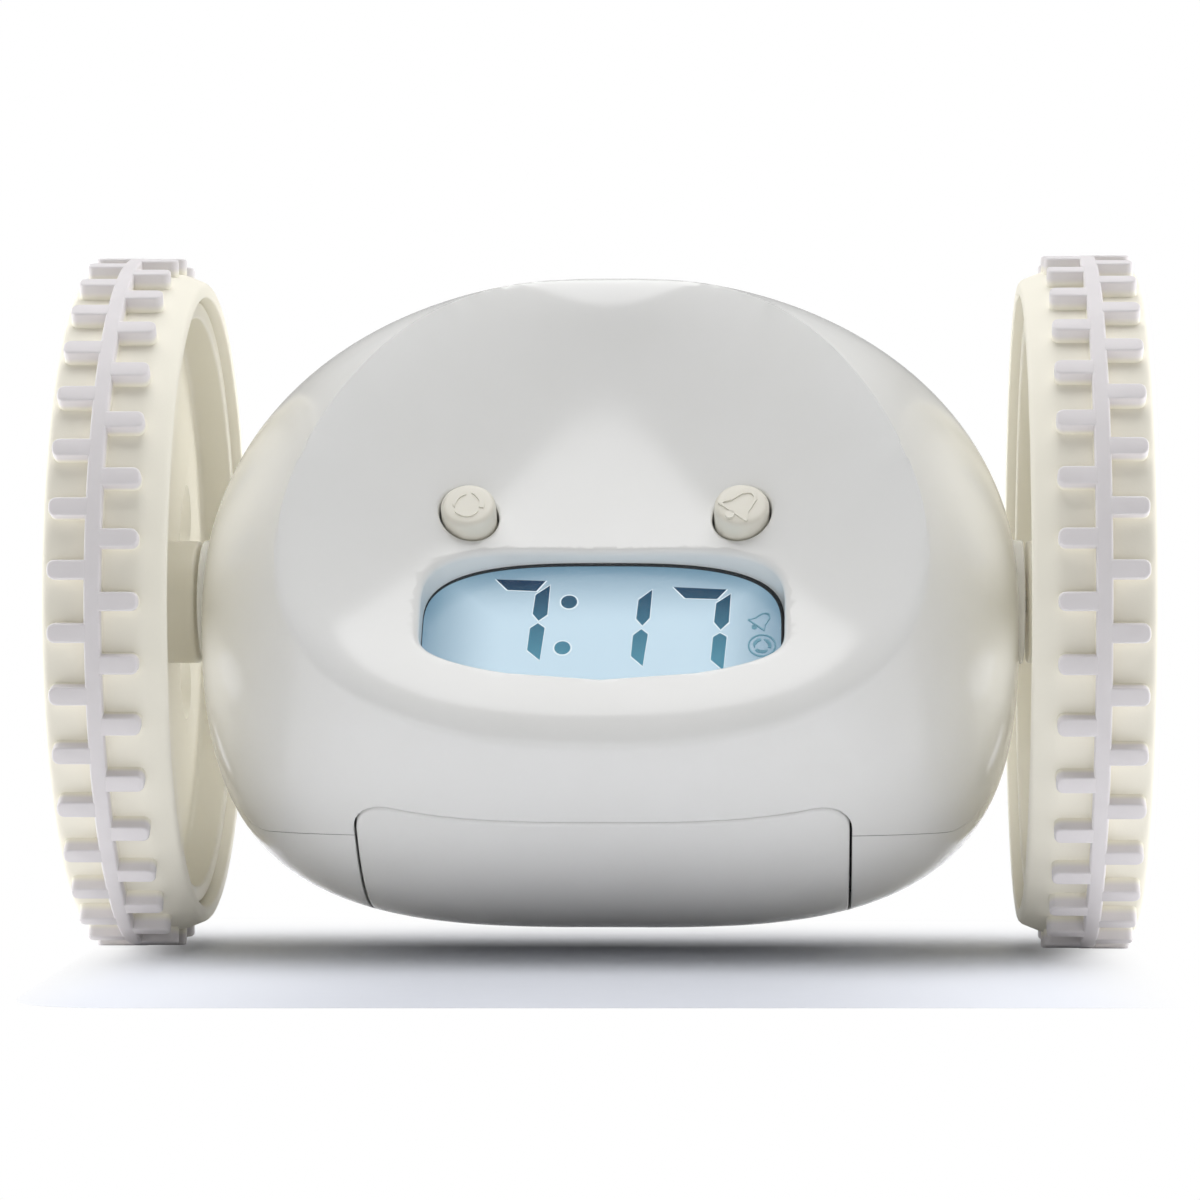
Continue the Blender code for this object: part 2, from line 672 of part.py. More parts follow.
def battery_bay():
    ceiling = body_solid(WALL + GAP)
    door = keep(cut(body_solid(), body_solid(WALL)), door_prism(0))
    notch = box(NOTCH_WIDTH, 2 * NOTCH_HEIGHT, BODY_RADIUS / 2, FAR, door_plane, (0, -DOOR_HEIGHT / 2))
    cut(door, notch)
    finish(door, "battery_door", ivory_abs, pivot=door_plane @ Vector((0, 0, BODY_RADIUS)))

    outer_layer = BODY_RADIUS - WALL - GAP - CELL_COVER - CELL_RADIUS
    spread = CELL_RADIUS + GAP
    inner_layer = outer_layer - 2 * spread
    pocket_floor = inner_layer - CELL_RADIUS - GAP
    half_height = 2 * CELL_RADIUS + 2 * GAP
    half_length = CELL_LENGTH / 2 + CONTACT_ROOM
    ledge_width = DOOR_WIDTH + 2 * (GAP + LEDGE_WIDTH)
    ledge = keep(cut(twin(ceiling), body_solid(WALL + GAP + LEDGE_THICKNESS)),
                 box(ledge_width, DOOR_HEIGHT - 2 * LEDGE_WIDTH, BODY_RADIUS / 3, FAR, door_plane))
    tray = keep(box(2 * (half_length + TRAY_WALL), 2 * (half_height + TRAY_WALL), pocket_floor - TRAY_WALL,
                    FAR, door_plane), ceiling)
    join(tray, ledge)
    cut(tray, box(2 * half_length, 2 * half_height, pocket_floor, FAR, door_plane))
    finish(tray, "battery_tray", black_plastic)

    spots = [(along, deep) for deep in (outer_layer, inner_layer) for along in (-spread, spread)]
    for number, (along, deep) in enumerate(spots):
        facing = 1 if number in (0, 3) else -1
        body_end = CELL_LENGTH / 2 - CELL_NUB_HEIGHT
        centre = door_plane @ Vector((0, along, deep))
        frame = outward(facing, -centre.y, centre.z - AXLE_HEIGHT)
        profile = [(0, CELL_LENGTH / 2), (CELL_NUB_RADIUS, CELL_LENGTH / 2), (CELL_NUB_RADIUS, body_end),
                   (CELL_RADIUS, body_end), (CELL_RADIUS, -CELL_LENGTH / 2), (0, -CELL_LENGTH / 2)]
        finish(turned(profile, frame, sides=16), f"battery_{number + 1}", cell_jacket)

    plate_out = half_length - GAP
    plate_in = plate_out - CONTACT_THICKNESS
    touch = CELL_LENGTH / 2 + GAP
    for sign, name in ((-1, "battery_contact_left"), (1, "battery_contact_right")):
        low = pocket_floor + GAP
        high = outer_layer + CELL_RADIUS / 2
        middle = door_plane @ Vector((0, 0, (low + high) / 2))
        slant = Matrix.Rotation(-sign * DOOR_ANGLE, 4, "Z")
        frame = outward(sign, -middle.y, middle.z - AXLE_HEIGHT) @ slant
        contact = box(high - low, 2 * (half_height - GAP), plate_in, plate_out, frame)
        for number, (along, deep) in enumerate(spots):
            spring = (number in (0, 3)) != (sign > 0)
            base = SPRING_RADIUS if spring else BUTTON_CONTACT_RADIUS
            centre = door_plane @ Vector((0, along, deep))
            bump_frame = outward(sign, -centre.y, centre.z - AXLE_HEIGHT)
            join(contact, rod(base * CONTACT_TAPER, touch, plate_in + CONTACT_THICKNESS / 2, bump_frame,
                              end_radius=base, sides=8))
        finish(contact, name, steel)


battery_bay()


# Drive: motor, gears, axle and bush of each wheel

gear_distance = GEAR_MODULE * (BIG_TEETH + SMALL_TEETH) / 2
plate_outer_end = BOSS_START - GAP
plate_inner_end = plate_outer_end - PLATE_THICKNESS
layer_top = plate_inner_end - 2 * GEAR_SPACE
layer_output = layer_top - GEAR_WIDTH
layer_second = layer_output - GEAR_SPACE - GEAR_WIDTH
layer_first = layer_second - GEAR_SPACE - GEAR_WIDTH
base_plate_top = layer_first - GEAR_SPACE
base_plate_bottom = base_plate_top - PLATE_THICKNESS


def gear_outline(teeth, phase):
    """Gear with straight-sided teeth, one of them at the phase angle."""
    big = teeth == BIG_TEETH
    pitch_radius = GEAR_MODULE * teeth / 2
    tip = pitch_radius + TIP_ADDENDUM * GEAR_MODULE
    root = pitch_radius - ROOT_DEDENDUM * GEAR_MODULE
    half_tip = math.pi / teeth * (BIG_TIP_SHARE if big else SMALL_TIP_SHARE)
    half_root = math.pi / teeth * (BIG_ROOT_SHARE if big else SMALL_ROOT_SHARE)
    outline = []
    for number in range(teeth):
        middle = phase + 2 * math.pi * number / teeth
        for offset, radius in ((-half_root, root), (-half_tip, tip), (half_tip, tip), (half_root, root)):
            outline.append((radius * math.cos(middle + offset), radius * math.sin(middle + offset)))
    return outline


def step_from(spot, angle):
    return (spot[0] + gear_distance * math.cos(angle), spot[1] + gear_distance * math.sin(angle))


axle_spot = (0.0, 0.0)
second_spot = step_from(axle_spot, THIRD_MESH_ANGLE)
first_spot = step_from(second_spot, SECOND_MESH_ANGLE)
motor_spot = step_from(first_spot, FIRST_MESH_ANGLE)
gap_phase = math.pi / SMALL_TEETH


def gear_layer(sign, spot, teeth, phase, low, high):
    """A gear standing between two distances from the middle of the clock."""
    frame = side_plane(0) @ Matrix.Translation((spot[0], spot[1], 0))
    ends = sorted((-sign * low, -sign * high))
    return plate(gear_outline(teeth, phase), ends[0], ends[1], frame)


def drive(sign, hand):
    centre = {spot: place(0, spot[0], spot[1]) for spot in (first_spot, second_spot, motor_spot)}
    pin_hole = PIN_RADIUS + GAP

    output = gear_layer(sign, axle_spot, BIG_TEETH, THIRD_MESH_ANGLE, layer_output, layer_top)
    cut(output, rod(AXLE_RADIUS + GAP, 0, FAR, outward(sign), sides=12))
    finish(output, f"output_gear_{hand}", gear_nylon, pivot=place(0, 0, 0))

    second = gear_layer(sign, second_spot, BIG_TEETH, SECOND_MESH_ANGLE, layer_second,
                        layer_second + GEAR_WIDTH)
    join(second, gear_layer(sign, second_spot, SMALL_TEETH, THIRD_MESH_ANGLE + math.pi + gap_phase,
                            layer_second + GEAR_WIDTH / 2, layer_top))
    cut(second, rod(pin_hole, 0, FAR, outward(sign, *second_spot), sides=12))
    finish(second, f"compound_gear_2_{hand}", gear_nylon, pivot=centre[second_spot])

    first = gear_layer(sign, first_spot, BIG_TEETH, FIRST_MESH_ANGLE, layer_first, layer_first + GEAR_WIDTH)
    join(first, gear_layer(sign, first_spot, SMALL_TEETH, SECOND_MESH_ANGLE + math.pi + gap_phase,
                           layer_first + GEAR_WIDTH / 2, layer_second + GEAR_WIDTH))
    cut(first, rod(pin_hole, 0, FAR, outward(sign, *first_spot), sides=12))
    finish(first, f"compound_gear_1_{hand}", gear_nylon, pivot=centre[first_spot])

    motor_front = base_plate_bottom - GAP
    pinion = gear_layer(sign, motor_spot, SMALL_TEETH, FIRST_MESH_ANGLE + math.pi + gap_phase,
                        layer_first, layer_first + GEAR_WIDTH)
    join(pinion, rod(SHAFT_RADIUS, motor_front - SHAFT_DEPTH + GAP, layer_first + GEAR_WIDTH / 2,
                     outward(sign, *motor_spot), sides=12))
    finish(pinion, f"motor_pinion_{hand}", gear_nylon, pivot=centre[motor_spot])

    motor_frame = outward(sign, *motor_spot)
    motor = rod(MOTOR_RADIUS, motor_front - MOTOR_LENGTH, motor_front, motor_frame)
    keep(motor, box(4 * MOTOR_RADIUS, MOTOR_FLATS, 0, FAR, motor_frame))
    join(motor, rod(MOTOR_BOSS_RADIUS, motor_front - GAP, base_plate_top - GAP, motor_frame, sides=16))
    cut(motor, rod(SHAFT_RADIUS + GAP, motor_front - SHAFT_DEPTH, FAR, motor_frame, sides=12))
    finish(motor, f"motor_{hand}", motor_can)

    for name, spot in (("gear_pin_1", first_spot), ("gear_pin_2", second_spot)):
        pin = rod(PIN_RADIUS, base_plate_bottom + GAP, plate_outer_end - GAP, outward(sign, *spot), sides=12)
        finish(pin, f"{name}_{hand}", steel)

    back, front_edge = motor_spot[0] - MOTOR_RADIUS - GAP, AXLE_RADIUS + PLATE_MARGIN
    bottom, top = motor_spot[1] - MOTOR_FLATS / 2, second_spot[1] + PLATE_MARGIN
    base_outline = [(front_edge, bottom + PLATE_BEVEL), (front_edge, top - PLATE_BEVEL),
                    (front_edge - PLATE_BEVEL, top), (back + PLATE_BEVEL, top),
                    (back, top - PLATE_BEVEL), (back, bottom + PLATE_BEVEL),
                    (back + PLATE_BEVEL, bottom), (front_edge - PLATE_BEVEL, bottom)]
    ends = sorted((-sign * base_plate_bottom, -sign * base_plate_top))
    base = plate(base_outline, ends[0], ends[1], side_plane(0))
    cut(base, rod(MOTOR_BOSS_RADIUS + GAP, 0, FAR, motor_frame, sides=16))

    corners = [(axle_spot, -130), (axle_spot, -50), (axle_spot, 30), (second_spot, 60), (second_spot, 120),
               (first_spot, 120), (first_spot, 180), (first_spot, 240)]
    cover_outline = []
    for spot, angle in corners:
        reach = BOSS_RADIUS if spot == axle_spot else PLATE_MARGIN
        turn = math.radians(angle)
        cover_outline.append((spot[0] + reach * math.cos(turn), spot[1] + reach * math.sin(turn)))
    ends = sorted((-sign * plate_inner_end, -sign * plate_outer_end))
    cover = plate(cover_outline, ends[0], ends[1], side_plane(0))
    for part in (base, cover):
        cut(part, rod(AXLE_RADIUS + GAP, 0, FAR, outward(sign), sides=12))
        for spot in (first_spot, second_spot):
            cut(part, rod(pin_hole, 0, FAR, outward(sign, *spot), sides=12))
    finish(base, f"gearbox_inner_plate_{hand}", black_plastic)
    finish(cover, f"gearbox_outer_plate_{hand}", black_plastic)

    bush_end = BOSS_END - BUSH_SINK
    bore = AXLE_RADIUS + GAP
    bush = [(BUSH_RADIUS, bush_end), (BUSH_RADIUS, bush_end - BUSH_LENGTH),
            (bore, bush_end - BUSH_LENGTH), (bore, bush_end)]
    finish(turned(bush, outward(sign), sides=20, closed=True), f"axle_bush_{hand}", sintered_bronze)


# Wheels

tyre_outer_side = TYRE_INNER_SIDE + TYRE_WIDTH
rim_inner_side = TYRE_INNER_SIDE + RIM_RECESS
rim_outer_side = tyre_outer_side - RIM_RECESS
web_inner_side = TYRE_INNER_SIDE + WEB_INSET
web_outer_side = web_inner_side + WEB_THICKNESS
tread_corner_radius = WHEEL_RADIUS / math.cos(math.pi / LUG_COUNT * LUG_SHARE)
tread_base_radius = tread_corner_radius - TREAD_DEPTH
tyre_bore_radius = tread_base_radius - TYRE_THICKNESS
rim_radius = tyre_bore_radius * math.cos(math.pi / LUG_COUNT) - GAP
hub_end = web_outer_side + HUB_BOSS_HEIGHT
rib_start = (TYRE_INNER_SIDE + tyre_outer_side - RIB_WIDTH) / 2 + RIB_OFFSET
rib_end = rib_start + RIB_WIDTH


def tyre(sign):
    """Tread swept in steps as wide as a lug and as the space beside it, then raised at rib and lugs."""
    shoulder_radius = tread_base_radius - TYRE_SHOULDER
    bands = [(shoulder_radius, TYRE_INNER_SIDE), (tread_base_radius, rib_start - LUG_LENGTH),
             (tread_base_radius, rib_start), (tread_base_radius, rib_end),
             (tread_base_radius, rib_end + LUG_LENGTH), (shoulder_radius, tyre_outer_side)]
    pitch = 2 * math.pi / LUG_COUNT
    lug_angle = pitch * LUG_SHARE
    first_angle = -math.pi / 2 - lug_angle / 2
    turn = Matrix.Rotation(first_angle, 3, "Z")
    bm = bmesh.new()
    points = [bm.verts.new(turn @ Vector((radius, 0, side))) for radius, side in bands]
    ends = points + [bm.edges.new(pair) for pair in zip(points, points[1:])]
    for number in range(4 * LUG_COUNT):
        angle = lug_angle if number % 2 == 0 else pitch / 2 - lug_angle
        swept = bmesh.ops.spin(bm, geom=ends, cent=(0, 0, 0), axis=(0, 0, 1), angle=angle, steps=1)
        ends = swept["geom_last"]
    bmesh.ops.remove_doubles(bm, verts=bm.verts, dist=0.01 * MM)

    raised = []
    for face in bm.faces:
        centre = face.calc_center_median()
        angle = (math.atan2(centre.y, centre.x) - first_angle) % pitch
        on_inner_lug = angle < lug_angle
        on_outer_lug = pitch / 2 < angle < pitch / 2 + lug_angle
        in_inner_row = rib_start - LUG_LENGTH < centre.z < rib_start
        in_outer_row = rib_end < centre.z < rib_end + LUG_LENGTH
        in_rib = rib_start < centre.z < rib_end
        if in_rib or (in_inner_row and on_inner_lug) or (in_outer_row and on_outer_lug):
            raised.append(face)
    grown = bmesh.ops.extrude_face_region(bm, geom=raised)
    bmesh.ops.delete(bm, geom=[face for face in raised if face.is_valid], context="FACES_ONLY")
    swell = tread_corner_radius / tread_base_radius
    tops = [item for item in grown["geom"] if isinstance(item, bmesh.types.BMVert)]
    bmesh.ops.scale(bm, vec=(swell, swell, 1), verts=tops)
    open_edges = [edge for edge in bm.edges if len(edge.link_faces) == 1]
    bmesh.ops.holes_fill(bm, edges=open_edges, sides=0)
    drum = from_bmesh(bm, outward(sign), recalculate=True)
    return cut(drum, rod(tyre_bore_radius, 0, 2 * FAR, outward(sign), sides=LUG_COUNT))


def petal_outline(angle):
    """Opening that is narrow towards the axle and full towards the rim."""
    middle = (PETAL_START + PETAL_END) / 2
    half = (PETAL_END - PETAL_START) / 2
    outline = []
    for step in range(12):
        swing = 2 * math.pi * step / 12
        along = middle + half * math.cos(swing)
        across = PETAL_WIDTH / 2 * math.sin(swing) * (1 + PETAL_TAPER * (math.cos(swing) - 0.5))
        outline.append((along * math.cos(angle) - across * math.sin(angle),
                        along * math.sin(angle) + across * math.cos(angle)))
    return outline


def wheel(sign, hand):
    axis = place(0, 0, 0)
    bore = AXLE_RADIUS + GAP
    collar_end = web_inner_side - COLLAR_LENGTH
    well_radius = rim_radius - RIM_THICKNESS
    profile = [(bore, collar_end), (COLLAR_RADIUS, collar_end), (COLLAR_RADIUS, web_inner_side),
               (well_radius, web_inner_side), (well_radius, rim_inner_side), (rim_radius, rim_inner_side),
               (rim_radius, rim_outer_side), (well_radius, rim_outer_side), (well_radius, web_outer_side),
               (HUB_BOSS_RADIUS, web_outer_side), (HUB_BOSS_RADIUS, hub_end), (bore, hub_end)]
    half_side = Matrix.Rotation(math.pi / HUB_SIDES, 4, "Z")
    hub = turned(profile, outward(sign) @ half_side, sides=HUB_SIDES, closed=True)
    angles = [math.pi / 2 + 2 * math.pi * number / PETAL_COUNT for number in range(PETAL_COUNT)]
    cut(hub, *[plate(petal_outline(angle), 0, 2 * FAR, outward(sign)) for angle in angles])
    finish(hub, f"wheel_hub_{hand}", ivory_abs, pivot=axis)

    finish(tyre(sign), f"tyre_{hand}", tyre_rubber, pivot=axis)

    cap_base = hub_end + GAP
    dome = arc((0, 0), 1, 90, 0, 4)[1:]
    cap = [(0, cap_base + CAP_HEIGHT)]
    cap += [(HUB_BOSS_RADIUS * across, cap_base + CAP_HEIGHT * rise) for across, rise in dome]
    finish(turned(cap + [(0, cap_base)], outward(sign), sides=20), f"hub_cap_{hand}", ivory_abs, pivot=axis)

    axle = rod(AXLE_RADIUS, base_plate_bottom, hub_end - GAP, outward(sign), sides=12)
    finish(axle, f"wheel_axle_{hand}", steel, pivot=axis)


for sign, hand in ((-1, "left"), (1, "right")):
    drive(sign, hand)
    wheel(sign, hand)


# Speaker

def speaker():
    """Moulded frame with a paper cone in it and a magnet behind it, facing the grille."""
    throat, skin = THROAT_RADIUS, SPEAKER_SKIN
    floor = speaker_back + skin
    lip = speaker_front - skin
    basket = [(0, floor + skin / 2), (throat - skin, floor + skin / 2), (SPEAKER_RADIUS - 1.5 * skin, lip),
              (SPEAKER_RADIUS - skin, speaker_front), (SPEAKER_RADIUS, speaker_front),
              (SPEAKER_RADIUS, lip - skin / 2), (throat, floor), (throat, speaker_back), (0, speaker_back)]
    finish(turned(basket, speaker_plane, sides=20), "speaker_frame", black_plastic)
    rim = SPEAKER_RADIUS - 1.5 * skin - GAP
    cone_skin = skin / 2
    cone_back = floor + skin
    cone = [(0, cone_back + cone_skin), (throat / 3, cone_back + cone_skin), (rim, speaker_front - GAP),
            (rim, speaker_front - GAP - cone_skin), (throat / 3, cone_back), (0, cone_back)]
    finish(turned(cone, speaker_plane, sides=20), "speaker_cone", speaker_paper)
    magnet_top = speaker_back - GAP
    magnet = rod(MAGNET_RADIUS, magnet_top - MAGNET_HEIGHT, magnet_top, speaker_plane, sides=20)
    finish(magnet, "speaker_magnet", steel)


speaker()


# Setting keys and their board

def setting_keys():
    for number, side in enumerate(key_sides):
        surface = girth(abs(side), KEY_ANGLE)
        flange_radius = KEY_RADIUS + GAP + 2 * FLANGE_OVERHANG
        flange_top = girth(abs(side) + flange_radius, KEY_ANGLE) - WALL - 2 * GAP
        flange_bottom = flange_top - FLANGE_THICKNESS
        stem_end = key_board_front + KEY_TRAVEL + GAP
        top = surface + KEY_PROUD
        profile = [(0, top), (KEY_RADIUS - BUTTON_EDGE, top), (KEY_RADIUS, top - BUTTON_EDGE),
                   (KEY_RADIUS, flange_top), (flange_radius, flange_top), (flange_radius, flange_bottom),
                   (KEY_STEM_RADIUS, flange_bottom), (KEY_STEM_RADIUS, stem_end), (0, stem_end)]
        frame = key_plane @ Matrix.Translation((side, 0, 0))
        pivot = frame @ Vector((0, 0, surface))
        finish(turned(profile, frame, sides=12), f"setting_key_{number + 1}", cream_abs, pivot=pivot)
    board = box(KEY_BOARD_WIDTH, KEY_BOARD_HEIGHT, key_board_front - BOARD_THICKNESS, key_board_front,
                key_plane)
    finish(board, "key_board", board_laminate)


setting_keys()


# Case screws

def case_screws():
    for number, (side, up) in enumerate(screw_spots):
        seat = POST_FLOOR - seam_forward(up) + GAP
        tip = seat - GAP - POST_FLOOR - SCREW_REACH
        profile = [(0, seat + SCREW_HEAD_HEIGHT), (SCREW_HEAD_RADIUS, seat + SCREW_HEAD_HEIGHT),
                   (SCREW_HEAD_RADIUS, seat), (SCREW_RADIUS, seat), (SCREW_RADIUS, tip), (0, tip)]
        frame = screw_plane @ Matrix.Translation((side, -up, 0))
        finish(turned(profile, frame, sides=12), f"case_screw_{number + 1}", steel)


case_screws()
bpy.data.collections.remove(workshop)
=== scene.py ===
import math

import bmesh
import bpy
import numpy as np
from mathutils import Matrix, Vector


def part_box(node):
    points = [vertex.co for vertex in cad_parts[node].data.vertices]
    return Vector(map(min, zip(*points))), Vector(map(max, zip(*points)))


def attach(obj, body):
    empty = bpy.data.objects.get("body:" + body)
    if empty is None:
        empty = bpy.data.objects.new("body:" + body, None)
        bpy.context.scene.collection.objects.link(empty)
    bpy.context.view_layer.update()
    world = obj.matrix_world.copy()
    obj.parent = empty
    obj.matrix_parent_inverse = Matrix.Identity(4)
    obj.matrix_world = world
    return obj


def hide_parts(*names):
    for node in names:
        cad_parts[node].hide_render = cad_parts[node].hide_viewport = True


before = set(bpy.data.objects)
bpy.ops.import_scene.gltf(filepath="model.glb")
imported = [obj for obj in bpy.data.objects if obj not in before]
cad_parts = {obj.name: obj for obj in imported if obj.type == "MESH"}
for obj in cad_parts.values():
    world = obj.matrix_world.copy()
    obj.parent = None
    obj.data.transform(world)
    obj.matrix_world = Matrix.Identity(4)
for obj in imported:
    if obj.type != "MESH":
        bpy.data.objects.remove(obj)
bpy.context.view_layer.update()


# Casing. Two glossy shells of warm white ABS, injection moulded with a 2 mm wall and screwed together from
# behind. The body is an egg lying on the wheels' axle, with a hollow face scooped out of its front, and the
# rim round the face is rolled over softly. Sizes are in millimetres from the middle of the axle.

AXLE_UP = 1000 * sum(corner.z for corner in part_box("wheel_axle_left")) / 2
HALF_WIDTH = 52.4
RADIUS = 42.0
WALL = 2.0
ROUNDNESS_TOP = 2.11        # 2 is an ellipse, more is squarer
ROUNDNESS_BOTTOM = 3.26
LIP_UP = -15.5              # lower edge of the face
LIP_SETBACK = 3.3
FACE_SLOPE = 0.95
FACE_HOLLOW = 104.0         # radius of the face's hollow, up the middle and across
FACE_DISH = 111.0
FACE_DEEPENING = 56.7
FACE_TILT = 38              # degrees that the window's plane leans back
WINDOW_UP = -1.9
WINDOW_WIDTH = 45.0
WINDOW_ABOVE = 10.2
WINDOW_BELOW = 9.65
WINDOW_DEPTH = 2.1
RIM_HEIGHTS = [-15.5, 4.0, 18.0, 38.0]
RIM_SOFTNESS = [7.0, 3.0, 3.5, 6.0]     # how widely the rim is rolled at those heights
FACE_AIM = 33               # degrees above straight ahead, where the mesh has its pole
BODY_MESH = (200, 112)      # faces round the body's mesh, and rings from pole to pole
CAVITY_MESH = (96, 56)
SLEEVE_WALL = 1.0
GUIDE_WALL = 1.55
BOSS_RADIUS = 8.0
BOSS_START = 43.8
BOSS_END = 53.0
BUSH_RADIUS = 4.0
BUTTON_SIDE = 17.1
BUTTON_ABOVE = 14.6
BUTTON_RADIUS = 3.45
GAP = 0.3
SEAM_GAP = 0.06
SEAM_FORWARD = 9.5
SEAM_KNEE_UP = 12.0
SEAM_LEAN = 23
SEAM_UP = -28.9
SEAM_CORNER = 7.0
SCREW_SPOTS = [(side, up) for up in (25.0, -17.0) for side in (-36.0, 36.0)]
SCREW_HEAD_RADIUS = 2.6
POST_RADIUS = 4.4
POST_FLOOR = 3.0
DOOR_AIM = -64.3
DOOR_WIDTH = 61.0
DOOR_HEIGHT = 33.6
DOOR_CORNER = 4.5
NOTCH_WIDTH = 10.0
NOTCH_HEIGHT = 2.2
NOTCH_CORNER = 1.4
SPEAKER_AIM = 205
GRILLE_RADIUS = 10.5
SLOT_COUNT = 5
SLOT_WIDTH = 1.6
SLOT_PITCH = 3.6
KEY_AIM = 157.5
KEY_SIDES = (-18.0, -6.0, 6.0, 18.0)
KEY_RADIUS = 2.6
FAR = 70.0


def place(side, forward, up):
    """A spot on the clock, in metres."""
    return Vector((side, -forward, AXLE_UP + up)) / 1000


def standing(origin, aim):
    """Takes millimetres on the bench to a plane on the clock, whose Z points at an angle above ahead."""
    across = Vector((1, 0, 0))
    normal = Vector((0, -math.cos(math.radians(aim)), math.sin(math.radians(aim))))
    turn = Matrix((across, normal.cross(across), normal)).transposed().to_4x4()
    return Matrix.Translation(origin) @ turn @ Matrix.Scale(0.001, 4)


def outward(sign, forward=0.0, up=0.0):
    """The same for a frame whose Z runs out to the left (-1) or right (1), and whose Y is up."""
    turn = Matrix(((0, sign, 0), (0, 0, 1), (sign, 0, 0))).transposed().to_4x4()
    return Matrix.Translation(place(0, forward, up)) @ turn @ Matrix.Scale(0.001, 4)


def only(*pieces):
    """Select these pieces and nothing else, the first of them active."""
    bpy.ops.object.select_all(action="DESELECT")
    for piece in pieces:
        piece.select_set(True)
    bpy.context.view_layer.objects.active = pieces[0]


def through(rings, stand):
    """A closed solid through rings of points: a filled disc, extruded from each ring to the next."""
    bpy.ops.object.select_all(action="DESELECT")
    bpy.ops.mesh.primitive_circle_add(vertices=len(rings[0]), fill_type="NGON")
    piece = bpy.context.active_object
    bpy.ops.object.mode_set(mode="EDIT")
    for number, ring in enumerate(rings):
        if number:
            bpy.ops.mesh.extrude_region_move()
        shape = bmesh.from_edit_mesh(piece.data)
        cap = next(face for face in shape.faces if face.select)
        for vert, spot in zip(cap.verts, ring):
            vert.co = spot
        bmesh.update_edit_mesh(piece.data)
    bpy.ops.mesh.select_all(action="SELECT")
    bpy.ops.mesh.normals_make_consistent(inside=False)
    bpy.ops.object.mode_set(mode="OBJECT")
    piece.data.transform(stand)
    return piece


def slab(outline, low, high, stand):
    return through([[(*spot, level) for spot in outline] for level in (low, high)], stand)


def rod(radius, low, high, stand, spot=(0, 0), sides=48):
    bpy.ops.object.select_all(action="DESELECT")
    bpy.ops.mesh.primitive_cylinder_add(vertices=sides, radius=radius, depth=high - low,
                                        location=(*spot, (low + high) / 2))
    bpy.ops.object.transform_apply()
    piece = bpy.context.active_object
    piece.data.transform(stand)
    return piece


def turned(profile, stand, steps=72):
    """A solid turned about Z from half its section, given as radius and height."""
    bpy.ops.object.select_all(action="DESELECT")
    bpy.ops.mesh.primitive_circle_add(vertices=len(profile))
    piece = bpy.context.active_object
    for vert, (radius, height) in zip(piece.data.vertices, profile):
        vert.co = (radius, 0, height)
    bpy.ops.object.mode_set(mode="EDIT")
    bpy.ops.mesh.select_all(action="SELECT")
    bpy.ops.mesh.spin(steps=steps, angle=2 * math.pi, center=(0, 0, 0), axis=(0, 0, 1))
    bpy.ops.mesh.select_all(action="SELECT")
    bpy.ops.mesh.remove_doubles(threshold=0.0001)
    bpy.ops.mesh.delete_loose()
    bpy.ops.mesh.select_all(action="SELECT")
    bpy.ops.mesh.normals_make_consistent(inside=False)
    bpy.ops.object.mode_set(mode="OBJECT")
    piece.data.transform(stand)
    return piece


def softened(corners, steps=4):
    """A closed outline whose corners, each given with a radius, are rounded off."""
    soft = []
    for number, (x, y, radius) in enumerate(corners):
        corner = Vector((x, y))
        before = Vector(corners[number - 1][:2]) - corner
        after = Vector(corners[(number + 1) % len(corners)][:2]) - corner
        if not radius:
            soft.append((x, y))
            continue
        start = corner + before.normalized() * min(radius, before.length / 2)
        end = corner + after.normalized() * min(radius, after.length / 2)
        for step in range(steps + 1):
            share = step / steps
            spot = start * (1 - share) ** 2 + corner * 2 * share * (1 - share) + end * share ** 2
            soft.append(tuple(spot))
    return soft


def carve(piece, operation, *tools):
    """Cut, join or keep with other solids, which are used up."""
    group = bpy.data.collections.new("tools")
    for tool in tools:
        group.objects.link(tool)
    only(piece)
    modifier = piece.modifiers.new("carve", "BOOLEAN")
    modifier.operation = operation
    modifier.solver = "EXACT"
    modifier.operand_type = "COLLECTION"
    modifier.collection = group
    modifier.show_viewport = False
    bpy.ops.object.modifier_apply(modifier="carve")
    for tool in tools:
        bpy.data.objects.remove(tool)
    bpy.data.collections.remove(group)
    return piece


def twin(piece):
    copy = piece.copy()
    copy.data = piece.data.copy()
    bpy.context.scene.collection.objects.link(copy)
    return copy


def finished(piece, name, material, body, slot, *nodes, angle=35):
    """Name a piece, smooth it, give it its material, and say what it rides on and stands for."""
    only(piece)
    bpy.ops.object.shade_smooth_by_angle(angle=math.radians(angle))
    piece.name = piece.data.name = name
    piece.data.materials.clear()
    piece.data.materials.append(material)
    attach(piece, body)
    if nodes:
        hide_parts(*nodes)
    return piece


def face_forward(side, up):
    """How far ahead of the axle the hollow face lies."""
    rise = up - LIP_UP
    middle = RADIUS - LIP_SETBACK - FACE_SLOPE * rise + rise ** 2 / (2 * FACE_HOLLOW)
    return middle + side ** 2 / (2 * FACE_DISH) + (rise * side) ** 2 / FACE_DEEPENING ** 3


def past_face(spots, inset):
    side, forward, up = spots.T
    level = face_forward(side, up)
    slope = (face_forward(side, up + 0.1) - level) / 0.1
    swing = (face_forward(side + 0.1, up) - level) / 0.1
    return forward - level + inset * np.sqrt(1 + slope ** 2 + swing ** 2)


def egg_reach(ways, inset):
    around = np.hypot(ways[:, 1], ways[:, 2])
    lean = ways[:, 2] / np.maximum(around, 1e-9)
    power = (ROUNDNESS_TOP + ROUNDNESS_BOTTOM + (ROUNDNESS_TOP - ROUNDNESS_BOTTOM) * lean) / 2
    share = (np.abs(ways[:, 0]) / (HALF_WIDTH - inset)) ** power + (around / (RADIUS - inset)) ** power
    return share ** (-1 / power)


